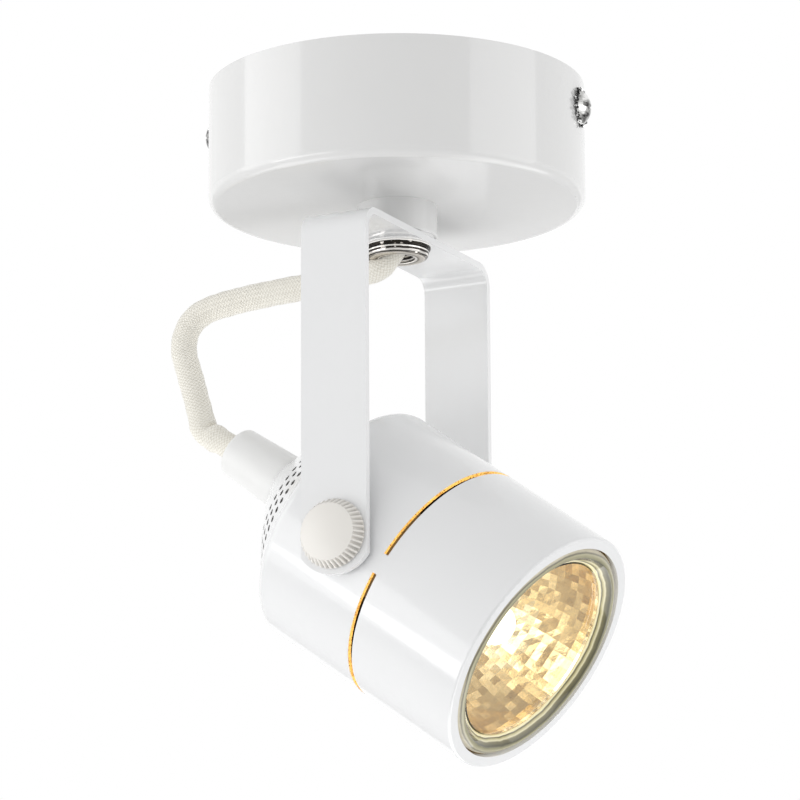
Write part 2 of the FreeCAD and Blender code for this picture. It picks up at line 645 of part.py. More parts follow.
# terminal block under the strap: two brass clamps, each with two screws, in a moulded body
def make_terminals():
    start = "block_start"
    end = "(block_start + block_length)"
    middle = "(block_start + block_length / 2)"
    block = box((start, "-block_half_width", BLOCK_UNDER), (end, "block_half_width", "-bracket_sheet"))
    clamps = []
    screws = []
    for pole in ("pole_reach", "-pole_reach"):
        block = cut(block, rod("X", f"{start} - 1", f"{end} + 1", "clamp_radius + thread_gap",
                               (pole, POLE)))
        clamp = cut(rod("X", f"{start} + clamp_inset", f"{end} - clamp_inset", "clamp_radius", (pole, POLE)),
                    rod("X", start, end, "clamp_bore", (pole, POLE)))
        for place in (f"{start} + clamp_screw_inset", f"{end} - clamp_screw_inset"):
            well = ("clamp_screw_radius + thread_gap", (place, pole))
            block = cut(block, rod("Z", f"{BLOCK_UNDER} - 1", POLE, *well))
            clamp = cut(clamp, rod("Z", BLOCK_UNDER, POLE, *well))
            screws.append(rod("Z", f"{BLOCK_UNDER} + clamp_screw_sink", f"{POLE} - core_radius",
                              "clamp_screw_radius", (place, pole)))
        clamps.append(clamp)
    block = cut(block, rod("Z", f"{BLOCK_UNDER} - 1", "0", "block_screw_radius + thread_gap",
                           (middle, "0")))
    keep(block, "terminal_block", "canopy")
    keep(together(*clamps), "terminal_clamps", "canopy")
    keep(together(*screws), "terminal_screws", "canopy")
    keep(fuse(rod("Z", f"{BLOCK_UNDER} - block_screw_radius", BLOCK_UNDER, "block_screw_head",
                  (middle, "0")),
              rod("Z", BLOCK_UNDER, "-0.2", "block_screw_radius", (middle, "0"))),
         "terminal_fixing_screw", "canopy")


# earth point on the strap: a screw and a crimped ring terminal
def make_earth_point():
    place = ("-earth_place", "0")
    under = "(-bracket_sheet - tag_sheet)"
    keep(fuse(rod("Z", f"{under} - earth_head_height", under, "earth_head_radius", place),
              rod("Z", under, "-0.2", "earth_radius", place)), "earth_screw", "canopy")
    plate = rod("Z", under, "-bracket_sheet", "tag_radius", place)
    tail = box(("-earth_place", "-core_radius", under),
               ("-earth_place + tag_tail", "core_radius", "-bracket_sheet"))
    keep(cut(fuse(plate, tail), rod("Z", f"{under} - 1", "0", "earth_radius + thread_gap", place)),
         "earth_tag", "canopy")


# cores of the lead in the cup, to the terminals and to the earth point
def make_canopy_wires():
    for node, side in (("wire_live", "1"), ("wire_neutral", "-1")):
        lead(node, "canopy", [[
            ("1.2", f"{side} * 1.2", "-sleeve_stop"),
            ("1.2", f"{side} * 1.2", "-sleeve_stop + 4"),
            ("5", f"{side} * pole_reach", POLE),
            ("block_start + clamp_inset + 4.5", f"{side} * pole_reach", POLE),
        ]], "core_radius")
    lead("wire_earth", "canopy", [[
        ("-1.5", "0", "-sleeve_stop"),
        ("-1.5", "0", "-bracket_sheet - tag_sheet - 5"),
        ("-3.2", "0", "-bracket_sheet - tag_sheet - core_radius"),
        ("-earth_place + tag_tail - 1.8", "0", "-bracket_sheet - tag_sheet - core_radius"),
    ]], "core_radius")


# yoke: one strip bent twice, with rounded ends
def make_yoke():
    yoke = Piece("yoke_bracket", "yoke")
    outside = ARM_OUT
    inside = "(yoke_inside / 2)"
    low = f"({PIVOT} - arm_tip)"
    inner_bend = "(bend_radius - strip_sheet)"
    yoke.pad(yoke.outline("YZ_Plane", [
        (f"-{outside}", low), (f"-{outside}", f"{YOKE_TOP} - bend_radius"),
        (f"-{outside} + bend_radius", YOKE_TOP, "-bend_radius"),
        (f"{outside} - bend_radius", YOKE_TOP),
        (outside, f"{YOKE_TOP} - bend_radius", "-bend_radius"), (outside, low),
        (inside, low), (inside, f"{YOKE_UNDER} - {inner_bend}"),
        (f"{inside} - {inner_bend}", YOKE_UNDER, inner_bend),
        (f"-{inside} + {inner_bend}", YOKE_UNDER),
        (f"-{inside}", f"{YOKE_UNDER} - {inner_bend}", inner_bend), (f"-{inside}", low),
    ]), "strip_width")
    half = "(strip_width / 2)"
    corner = f"({PIVOT} - arm_corner)"
    below = f"({low} - 2)"
    yoke.pocket(yoke.outline("XZ_Plane", [
        (f"-{half} - 1", corner), (f"-{half}", corner), (half, corner, "arm_arc"),
        (f"{half} + 1", corner), (f"{half} + 1", below), (f"-{half} - 1", below),
    ]), "2 * yoke_inside")
    yoke.pocket(yoke.circles("XY_Plane", [("0", "0")], "nipple_radius + running_gap"),
                "-3 * " + YOKE_TOP)
    yoke.pocket(yoke.circles("XZ_Plane", [("0", PIVOT)], "stud_radius + running_gap"),
                "2 * yoke_inside")


# head: a turned-in front lip, a ring slot in two halves and a cone to the rear opening
def make_housing():
    shell = Piece("head_housing", "head")
    pull = "housing_wall * tan(shoulder_turn / 2)"
    inside_throat = f"(({HOUSING_INSIDE} - throat_bore) / tan(shoulder_turn))"
    shell.revolve("XZ_Plane", [
        (f"-{THROAT}", "throat_bore"), (f"-{THROAT}", "throat_radius"),
        ("-shoulder_reach", "housing_radius"), ("front_reach", "housing_radius"),
        ("front_reach", "lip_radius"), ("front_reach - lip_depth", "lip_radius"),
        ("front_reach - lip_depth", HOUSING_INSIDE),
        (f"-shoulder_reach + {pull}", HOUSING_INSIDE),
        (f"-shoulder_reach + {pull} - {inside_throat}", "throat_bore"),
    ], "H_Axis")
    shell.round_rings("shoulder_edge", [("-shoulder_reach", "housing_radius")])
    shell.round_rings("housing_wall / 2", [("front_reach", "housing_radius")])
    sketch = shell.outline("XZ_Plane", [
        ("slot_reach - slot_width / 2", f"{HOUSING_INSIDE} - 1"),
        ("slot_reach - slot_width / 2", "housing_radius + 1"),
        ("slot_reach + slot_width / 2", "housing_radius + 1"),
        ("slot_reach + slot_width / 2", f"{HOUSING_INSIDE} - 1"),
    ])
    groove = shell.body.newObject("PartDesign::Groove", "Groove")
    groove.Profile = sketch
    groove.ReferenceAxis = (sketch, ["H_Axis"])
    groove.Midplane = True
    groove.setExpression("Angle", formula("slot_sweep"))
    shell.around(groove, "X_Axis", 2)
    shell.pocket(shell.circles("XZ_Plane", [("0", "0")], "bush_radius + thread_gap"),
                 "3 * housing_radius")


# vent cap: a perforated dome pressed into the head's rear opening
def make_vent_cap():
    cap = Piece("rear_vent_cap", "head")
    skirt = "(throat_bore - thread_gap)"
    cap.revolve("XZ_Plane", [
        ("-cap_reach", "stub_radius + thread_gap"), ("-cap_reach", "cap_flat"),
        (f"-{THROAT}", "throat_radius - face_gap", "-cap_curve"), (f"-{THROAT}", skirt),
        (f"-{THROAT} + skirt_length", skirt), (f"-{THROAT} + skirt_length", f"{skirt} - skirt_wall"),
        (f"-{THROAT}", f"{skirt} - skirt_wall"),
        ("-cap_reach + cap_wall", "cap_flat - cap_wall / 3", "cap_curve"),
        ("-cap_reach + cap_wall", "stub_radius + thread_gap"),
    ], "H_Axis")
    for index, count in VENT_RINGS:
        place = f"{skirt} - skirt_wall - vent_radius - face_gap - {index} * vent_pitch"
        hole = cap.pocket(cap.circles("YZ_Plane", [("0", place)], "vent_radius"), "2 * cap_reach",
                          both_ways=True)
        cap.around(hole, "X_Axis", count)


# boot: a tapered sleeve with a threaded stub through the vent cap, and its nut
def make_boot():
    boot = Piece("rear_boot", "head")
    boot.revolve("XZ_Plane", [
        (f"{BOOT_REAR}", "boot_bore + boot_mouth"), (BOOT_REAR, "boot_rear_radius"),
        ("-cap_reach", "boot_front_radius"), ("-cap_reach", "stub_radius"),
        ("-cap_reach + stub_length", "stub_radius"), ("-cap_reach + stub_length", "boot_bore"),
        (f"{BOOT_REAR} + boot_mouth", "boot_bore"),
    ], "H_Axis")
    boot.round_rings("boot_edge", [(BOOT_REAR, "boot_rear_radius")])
    seat = "(-cap_reach + cap_wall)"
    keep(cut(hexagon("X", seat, f"{seat} + boot_nut_height", "boot_nut_flats"),
             rod("X", "-cap_reach", "0", "stub_radius + thread_gap")), "boot_locknut", "head")


# pivot: a flanged bush each side, a washer outside the head's wall
def make_pivot():
    bushes = []
    washers = []
    for turn in ("0; 0; 0", "180; 0; 0"):
        flange = rod("Y", f"{CARRIER_IN} - bush_flange", CARRIER_IN, "bush_flange_radius")
        barrel = rod("Y", f"{CARRIER_IN} - bush_flange", BUSH_END, "bush_radius")
        bush = cut(fuse(flange, barrel), rod("Y", "0", "yoke_inside", "stud_radius + thread_gap"))
        bush.setExpression("Placement", spot("0", "0", "0", turn))
        bushes.append(bush)
        washer = ring("Y", f"{BUSH_END} - spacer_sheet", BUSH_END, "spacer_radius",
                      "bush_radius + face_gap")
        washer.setExpression("Placement", spot("0", "0", "0", turn))
        washers.append(washer)
    keep(together(*bushes), "pivot_bushes", "head")
    keep(together(*washers), "pivot_washers", "head")


# strap across the inside of the head: its legs sit under the bushes, its seat carries the lampholder
def make_carrier():
    carrier = Piece("lampholder_bracket", "head")
    slope = "carrier_sheet / 2"
    carrier.pad(carrier.outline("XY_Plane", [
        ("carrier_end", "carrier_out"), ("-carrier_knee", "carrier_out"),
        (f"-{CARRIER_BACK}", "carrier_seat"), (f"-{CARRIER_BACK}", "-carrier_seat"),
        ("-carrier_knee", "-carrier_out"), ("carrier_end", "-carrier_out"),
        ("carrier_end", f"-{CARRIER_IN}"), (f"-carrier_knee + {slope}", f"-{CARRIER_IN}"),
        (f"-{HOLDER_BACK}", f"-carrier_seat + {slope}"), (f"-{HOLDER_BACK}", f"carrier_seat - {slope}"),
        (f"-carrier_knee + {slope}", CARRIER_IN), ("carrier_end", CARRIER_IN),
    ]), "carrier_width")
    carrier.pocket(carrier.circles("XZ_Plane", [("0", "0")], "bush_radius + thread_gap"),
                   "3 * carrier_out")
    carrier.pocket(carrier.circles("YZ_Plane", [("0", "0")], "carrier_window"), "3 * carrier_out")
    carrier.pocket(carrier.circles("YZ_Plane", [("holder_screw_reach", "0"),
                                                ("-holder_screw_reach", "0")],
                                   "holder_screw_radius + thread_gap"), "3 * carrier_out")


# lampholder: a ceramic disc with two curved slots for the lamp's pins, a contact plate behind each
def make_lampholder():
    holder = Piece("lampholder", "head")
    holder.revolve("XZ_Plane", [
        (f"-{HOLDER_BACK}", 0), (f"-{HOLDER_BACK}", "holder_radius"),
        ("-holder_face", "holder_radius"), ("-holder_face", 0),
    ], "H_Axis")
    holder.round_rings("carrier_sheet", [("-holder_face", "holder_radius")])
    inner = "(pin_reach - pin_slot)"
    outer = "(pin_reach + pin_slot)"
    deep = "(2 * (holder_face + pin_slot_depth))"
    spread = "(pin_slot_sweep / 2)"
    slot = holder.pocket(holder.outline("YZ_Plane", [
        (f"-{inner} * sin({spread})", f"{inner} * cos({spread})", f"{inner}"),
        (f"-{outer} * sin({spread})", f"{outer} * cos({spread})"),
        (f"{outer} * sin({spread})", f"{outer} * cos({spread})", f"-{outer}"),
        (f"{inner} * sin({spread})", f"{inner} * cos({spread})"),
    ]), deep)
    holder.around(slot, "X_Axis", 2)
    for reach, spots in (("holder_screw_radius + thread_gap", ("holder_screw_reach", "0")),
                         ("core_radius + thread_gap", ("0", "wire_reach"))):
        hole = holder.pocket(holder.circles("YZ_Plane", [spots], reach), "4 * holder_face * 2")
        holder.around(hole, "X_Axis", 2)
    sink = holder.pocket(holder.circles("YZ_Plane", [("holder_screw_reach", "0")],
                                        "holder_head_radius + face_gap"),
                         "2 * (holder_face + 2 * holder_head_height)")
    holder.around(sink, "X_Axis", 2)
    screws = []
    contacts = []
    for side in ("", "-"):
        head = "(-holder_face - 2 * holder_head_height)"
        aside = (f"{side}holder_screw_reach", "0")
        screws.append(fuse(
            rod("X", head, f"{head} + holder_head_height", "holder_head_radius", aside),
            rod("X", f"-{CARRIER_BACK} - 0.6", head, "holder_screw_radius", aside)))
        contacts.append(rod("X", CONTACT_SEAT, f"{CONTACT_SEAT} + contact_sheet", "contact_radius",
                            ("0", f"{side}pin_reach")))
    keep(together(*screws), "lampholder_screws", "head")
    keep(together(*contacts), "lampholder_contacts", "head")


# the lead's covered end in the boot, and its two cores to the lampholder
def make_head_wires():
    braid_end = "(-cap_reach + stub_length)"
    keep(rod("X", "-lead_joint", braid_end, "cord_radius"), "head_cord", "head")
    lead("lampholder_wires", "head", [[
        (braid_end, "0", f"{side} * 1.0"), (f"{braid_end} + 2", "0", f"{side} * 1.0"),
        (f"{braid_end} + 4", "0", f"{side} * wire_reach"), (CONTACT_SEAT, "0", f"{side} * wire_reach"),
    ] for side in ("1", "-1")], "core_radius")


# thumb knobs: a tapered rim and a domed face on a threaded stud
def make_knobs():
    crown = "((knob_face_radius^2 + knob_crown^2) / (2 * knob_crown))"
    for name, side in (("front_knob", "-"), ("rear_knob", "")):
        knob = Piece(name, "head")
        bulge = crown if side else f"-{crown}"
        knob.revolve("YZ_Plane", [
            (f"{side}{KNOB_FOOT}", "stud_radius"), (f"{side}{KNOB_FOOT}", "knob_radius"),
            (f"{side}({KNOB_FOOT} + knob_rim)", "knob_face_radius"),
            (f"{side}({KNOB_FOOT} + knob_rim + knob_crown)", 0, bulge),
            (f"{side}({KNOB_FOOT} + knob_socket)", 0),
            (f"{side}({KNOB_FOOT} + knob_socket)", "stud_radius"),
        ], "H_Axis")
        start = f"({BUSH_END} - stud_grip)"
        end = f"({KNOB_FOOT} + knob_socket)"
        low, high = (f"-{end}", f"-{start}") if side else (start, end)
        keep(rod("Y", low, high, "stud_radius"), f"{name}_stud", "head")


# lamp: a glass reflector with a front glass, a capsule with its filament, and a base with two pins
def make_lamp():
    base = Piece("lamp_base", "head")
    base.revolve("XZ_Plane", [
        ("-base_rear", 0), ("-base_rear", "base_rear_radius"), ("base_front", "base_radius"),
        ("base_front", "base_radius - base_wall"), (BASE_FLOOR, "base_rear_radius - base_wall"),
        (BASE_FLOOR, 0),
    ], "H_Axis")
    pins = []
    for side in ("", "-"):
        aside = ("0", f"{side}pin_reach")
        neck_end = "(-base_rear - pin_neck_length)"
        pins.append(fuse(rod("X", neck_end, "-base_rear", "pin_neck", aside),
                         rod("X", f"{neck_end} - pin_head_length", neck_end, "pin_head", aside)))
    keep(together(*pins), "lamp_pins", "head")
    bowl = Piece("lamp_reflector", "head")
    rim = f"({GLASS_BACK} - bowl_rim)"
    bowl.revolve("XZ_Plane", [
        (GLASS_BACK, "lamp_radius - bowl_wall"), (GLASS_BACK, "lamp_radius"), (rim, "lamp_radius"),
        ("base_front", "bowl_foot", "bowl_curve"), ("base_front", "bowl_hole"),
        ("base_front + bowl_wall", "bowl_hole"), ("base_front + bowl_wall", "bowl_foot - bowl_wall / 2"),
        (rim, "lamp_radius - bowl_wall", "-bowl_curve + bowl_wall"),
    ], "H_Axis")
    glass = Piece("lamp_front_glass", "head")
    dish = f"({GLASS_FRONT} - glass_dish)"
    glass.revolve("XZ_Plane", [
        (GLASS_BACK, 0), (GLASS_BACK, "lamp_radius"), (f"{GLASS_FRONT} - glass_edge", "lamp_radius"),
        (GLASS_FRONT, "lamp_radius - glass_edge", "glass_edge"),
        (GLASS_FRONT, "glass_face_radius + glass_dish"), (dish, "glass_face_radius"), (dish, 0),
    ], "H_Axis")
    capsule = Piece("lamp_capsule", "head")
    bore = "(capsule_radius - capsule_wall)"
    capsule.revolve("XZ_Plane", [
        (BASE_FLOOR, 0), (BASE_FLOOR, "capsule_radius"), ("capsule_shoulder", "capsule_radius"),
        ("capsule_shoulder + capsule_radius", 0, "-capsule_radius"), (f"capsule_shoulder + {bore}", 0),
        ("capsule_shoulder", bore, bore), (f"{BASE_FLOOR} + capsule_wall", bore),
        (f"{BASE_FLOOR} + capsule_wall", 0),
    ], "H_Axis")
    legs = [rod("X", f"{BASE_FLOOR} + capsule_wall", "filament_reach", "leg_radius",
                ("0", f"{side}filament_half")) for side in ("", "-")]
    coil = rod("Z", "-filament_half - leg_radius", "filament_half + leg_radius", "filament_radius",
               ("filament_reach", "0"))
    keep(fuse(coil, *legs), "lamp_filament", "head")


make_ceiling_bracket()
make_canopy_cover()
make_side_screws()
make_stem()
make_lead_clamp()
make_terminals()
make_earth_point()
make_canopy_wires()
make_yoke()
lead("lamp_cord", "yoke", [LEAD_ROUTE], "cord_radius")
make_housing()
make_vent_cap()
make_boot()
make_pivot()
make_carrier()
make_lampholder()
make_head_wires()
make_knobs()
make_lamp()

doc.recompute()
for item in doc.Objects:
    if "Invalid" in item.State or "Error" in item.State:
        raise RuntimeError(f"{item.Name} ({item.Label}) failed: {item.State}")
for piece in pieces:
    if piece.Shape.isNull() or not piece.Shape.isValid() or not piece.Shape.Solids:
        raise RuntimeError(f"{piece.Label} has no valid solid")

os.makedirs("parts", exist_ok=True)
for piece in pieces:
    piece.Shape.exportStep(f"parts/{piece.Label}.step")
    print(f"{piece.Label}: {len(piece.Shape.Solids)} solids, {piece.Shape.Volume:.1f} mm3")
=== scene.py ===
import math
import random

import bmesh
import bpy
from bpy.props import FloatProperty, FloatVectorProperty, IntProperty, PointerProperty
from mathutils import Matrix, Vector


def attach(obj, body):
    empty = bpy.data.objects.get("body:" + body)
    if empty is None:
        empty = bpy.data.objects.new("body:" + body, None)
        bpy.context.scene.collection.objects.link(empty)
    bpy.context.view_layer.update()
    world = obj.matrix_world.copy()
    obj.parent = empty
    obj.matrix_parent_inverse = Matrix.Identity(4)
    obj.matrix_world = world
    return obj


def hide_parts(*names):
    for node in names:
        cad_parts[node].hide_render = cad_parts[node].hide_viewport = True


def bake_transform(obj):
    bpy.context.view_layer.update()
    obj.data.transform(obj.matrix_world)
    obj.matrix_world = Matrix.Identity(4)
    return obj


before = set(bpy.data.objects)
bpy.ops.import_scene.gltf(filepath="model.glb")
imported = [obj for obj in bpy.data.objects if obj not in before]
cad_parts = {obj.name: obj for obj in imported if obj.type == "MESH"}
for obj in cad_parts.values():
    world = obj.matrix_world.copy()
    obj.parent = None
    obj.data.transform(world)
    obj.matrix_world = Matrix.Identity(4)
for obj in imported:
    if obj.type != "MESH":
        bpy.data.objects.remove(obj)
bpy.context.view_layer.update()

bl_info = {
    "name": "Ceiling spotlight",
    "version": (1, 0, 0),
    "blender": (4, 5, 0),
    "location": "3D View > Sidebar > Spotlight",
    "description": "Finishes a surface mounted ceiling spotlight on its packed frame",
    "category": "Object",
}

MM = 0.001

# the rest turns of the yoke about the stem and of the head about its pivot
YOKE_TURN = math.radians(-11.0)
HEAD_TILT = math.radians(35.4)
PIVOT = Vector((0, 0, -0.1046))
YOKE = Matrix.Rotation(YOKE_TURN, 4, "Z")
HEAD = Matrix.Translation(PIVOT) @ YOKE @ Matrix.Rotation(HEAD_TILT, 4, "Y")

# the lead's route in the yoke's own plane: out along the yoke, height; millimetres
LEAD_ROUTE = (
    (0.0, -30.7),
    (0.8, -33.5),
    (-1.9, -39.5),
    (-11.4, -40.6),
    (-14.6, -41.4),
    (-25.5, -41.7),
    (-40.0, -42.6),
    (-50.2, -44.4),
    (-53.7, -51.0),
    (-51.2, -58.8),
    (-48.8, -67.0),
    (-47.6, -71.8),
    (-44.0, -73.6),
    (-38.31, -77.37),
)
LEAD_FOLD = (-46.8, -72.0)
LEAD_PINCH = (-1.4, -37.6)
TUBE_BORE = 3.45
NUT_BOTTOM = -38.25
NUT_RADIUS = 6.9
NUT_EDGE = 1.1
LEAD_SIDES = 32
LENS_SIDES = 128
STAR_TEETH = 14
STAR_SEAT = Vector((0.04145, 0, -0.0075))
KNOB_SEAT = 30.05
KNOB_RADIUS = 7.45

SLOTS = {
    "enamel": ("yoke_bracket",),
    # the cup and the stem carry the yoke's enamel set darker, as painted shade
    "canopy_shaded_enamel": ("canopy_cover", "stem_spacer"),
    "housing_enamel": ("head_housing",),
    "cap_enamel": ("rear_vent_cap",),
    "stem_nickel": ("threaded_nipple", "swivel_ring_nut", "swivel_lower_washer"),
    "nickel": ("inner_locknut", "terminal_screws", "terminal_fixing_screw", "lampholder_screws",
               "front_knob_stud", "rear_knob_stud", "lamp_pins"),
    "screw_plate": ("canopy_screws",),
    "dark_zinc": ("canopy_star_washers", "inner_lock_washer"),
    "zinc_steel": ("ceiling_bracket", "lampholder_bracket"),
    "nylon": ("swivel_upper_washer", "pivot_washers", "cord_grip", "cord_grip_screw"),
    "knob_plastic": ("pivot_bushes",),
    "boot_plastic": ("boot_locknut", "rear_boot"),
    "terminal_plastic": ("terminal_block",),
    "brass": ("terminal_clamps", "earth_screw", "earth_tag", "lampholder_contacts"),
    "ceramic": ("lampholder", "lamp_base"),
    "brown_wire": ("wire_live",),
    "blue_wire": ("wire_neutral",),
    "earth_wire": ("wire_earth",),
    "silicone": ("lampholder_wires",),
    "braid": ("canopy_cord", "head_cord"),
    "lens": ("lamp_front_glass",),
    "capsule": ("lamp_capsule",),
    "filament": ("lamp_filament",),
    "bowl_glass": ("lamp_reflector",),
}


# ---------------------------------------------------------------- shader maths

class Wire:
    """A shader socket on which arithmetic adds Math nodes."""

    def __init__(self, paint, socket):
        self.paint = paint
        self.socket = socket

    def maths(self, operation, *values):
        return self.paint.add("ShaderNodeMath", {"operation": operation}, values)

    def __add__(self, other):
        return self.maths("ADD", self, other)

    __radd__ = __add__

    def __sub__(self, other):
        return self.maths("SUBTRACT", self, other)

    def __rsub__(self, other):
        return self.maths("SUBTRACT", other, self)

    def __mul__(self, other):
        return self.maths("MULTIPLY", self, other)

    __rmul__ = __mul__

    def __truediv__(self, other):
        return self.maths("DIVIDE", self, other)

    def __mod__(self, other):
        return self.maths("FLOORED_MODULO", self, other)

    def __pow__(self, other):
        return self.maths("POWER", self, other)

    def __gt__(self, other):
        return self.maths("GREATER_THAN", self, other)

    def __lt__(self, other):
        return self.maths("LESS_THAN", self, other)

    def clamp(self):
        return self.maths("MINIMUM", self.maths("MAXIMUM", self, 0.0), 1.0)


class Paint:
    """One procedural material, built on a Principled shader."""

    def __init__(self, name, **settings):
        self.material = bpy.data.materials.new(name)
        self.material.use_nodes = True
        self.tree = self.material.node_tree
        self.shader = next(n for n in self.tree.nodes if n.type == "BSDF_PRINCIPLED")
        for socket, value in settings.items():
            self.shader.inputs[socket.replace("_", " ")].default_value = value

    def add(self, kind, settings=None, values=(), output=0):
        """Adds a node: its settings first, then its sockets' values or links."""
        node = self.tree.nodes.new(kind)
        for name, value in (settings or {}).items():
            if name == "stops":
                for element, (place, colour) in zip(node.color_ramp.elements, value):
                    element.position, element.color = place, colour
                for place, colour in value[2:]:
                    node.color_ramp.elements.new(place).color = colour
            else:
                setattr(node, name, value)
        pairs = values.items() if isinstance(values, dict) else enumerate(values)
        for key, value in pairs:
            if isinstance(value, Wire):
                self.tree.links.new(value.socket, node.inputs[key])
            else:
                node.inputs[key].default_value = value
        return Wire(self, node.outputs[output])

    def place(self, centre=(0, 0, 0), turn=(0, 0, 0)):
        """Object coordinates in millimetres, after a frame's start and turn are taken off."""
        spot = self.add("ShaderNodeTexCoord", output="Object")
        return self.add("ShaderNodeMapping", {"vector_type": "TEXTURE"},
                        {"Vector": spot, "Location": centre, "Rotation": turn,
                         "Scale": (MM, MM, MM)})

    def head_place(self):
        return self.place(PIVOT, (0, HEAD_TILT, YOKE_TURN))

    def axes(self, vector):
        """The three parts of a vector."""
        node = self.tree.nodes.new("ShaderNodeSeparateXYZ")
        self.tree.links.new(vector.socket, node.inputs[0])
        return [Wire(self, socket) for socket in node.outputs]

    def noise(self, vector, scale, detail=2.0, rough=0.5):
        return self.add("ShaderNodeTexNoise", {},
                        {"Vector": vector, "Scale": scale, "Detail": detail, "Roughness": rough})

    def blend(self, factor, low, high):
        """A colour between two colours."""
        node = self.tree.nodes.new("ShaderNodeMix")
        node.data_type = "RGBA"
        for key, value in ((0, factor), (6, low), (7, high)):
            if isinstance(value, Wire):
                self.tree.links.new(value.socket, node.inputs[key])
            elif key == 0:
                node.inputs[key].default_value = value
            else:
                node.inputs[key].default_value = (*value[:3], 1)
        return Wire(self, node.outputs[2])

    def drive(self, socket, wire):
        self.tree.links.new(wire.socket, self.shader.inputs[socket])

    def bump(self, height, strength, distance):
        """Relief of a height in millimetres' worth of distance."""
        relief = self.add("ShaderNodeBump", {},
                          {"Strength": strength, "Distance": distance * MM, "Height": height})
        self.drive("Normal", relief)


def speckled_gold(paint, spot):
    """A painted golden glow, as of light through a coating, with brown clouds and fine black specks."""
    patch = paint.noise(spot, 0.35, 2.0) * 0.5 + paint.noise(spot, 1.7, 3.0, 0.7) * 0.5
    glow_tint = paint.add("ShaderNodeValToRGB", {"stops": (
        (0.30, (0.03, 0.012, 0.004, 1)),
        (0.52, (0.98, 0.66, 0.2, 1)),
        (0.36, (0.36, 0.17, 0.045, 1)),
        (0.43, (0.72, 0.42, 0.11, 1)),
    )}, (patch,))
    return paint.blend(paint.noise(spot, 2.4, 1.0) < 0.37, glow_tint, (0.03, 0.015, 0.006))


def enamel(looks, name, shade, painted_shade_side=None, lit_side=None):
    """Gloss paint with a faint orange peel. A shell's inward faces are painted near black as painted shade,
    and near the lamp's slot it gets a painted golden glow.
    """
    paint = Paint(name, Base_Color=(*shade, 1), Roughness=0.16, Specular_IOR_Level=0.5,
                  Coat_Weight=0.6, Coat_Roughness=0.04, Emission_Strength=0.55 if lit_side else 0.0)
    spot = paint.place()
    cloud = paint.noise(spot, 0.045, 3.0)
    colour = paint.blend(cloud, [0.975 * part for part in shade], shade)
    # painted shade: the shell's inward faces are coloured near black
    if painted_shade_side:
        x, y, z = paint.axes(paint.head_place())
        radius = (y * y + z * z) ** 0.5
        colour = paint.blend(painted_shade_side(x, radius), colour, (0.025, 0.02, 0.016))
    # painted light: a golden glow in colour and emission near the slot, though the enamel is no lamp
    if lit_side:
        lit = lit_side(x, radius)
        gold = speckled_gold(paint, paint.head_place())
        colour = paint.blend(lit, colour, gold)
        paint.drive("Emission Color", paint.blend(lit, (0, 0, 0), gold))
    paint.drive("Base Color", colour)
    paint.drive("Roughness", paint.noise(spot, 0.35, 2.0) * 0.06 + 0.13)
    peel = paint.noise(spot, 0.55, 2.0) + paint.noise(spot, 2.2, 1.0) * 0.25
    paint.bump(peel, 0.05, 0.3)
    return paint.material


def inside_housing(x, radius):
    """One where the head's sheet faces inwards, behind its front lip and under its shoulder cone; there the
    enamel is painted near black as painted shade.
    """
    cone = (x + 14.9) * -0.809 + (radius - 27.7) * 0.588
    return (radius < 27.35) * (cone < -0.45) * (x < 38.6)


def slot_wall(x, radius):
    """One on the walls of the head's ring slot and near it inside, where the lamp shines out; there the
    enamel gets a painted golden glow.
    """
    along = (x - 11.85) * (x - 11.85)
    return (along < 0.38) * (radius < 27.58) + (along > 0.38) * (along < 30.0) * (radius < 27.2)


def inside_cap(x, radius):
    """One below the vent cap's curved face, an arc of 120 mm; there the enamel is painted near black as
    painted shade.
    """
    along = x - 64.87
    out = radius + 63.14
    return (along * along + out * out) ** 0.5 < 119.92


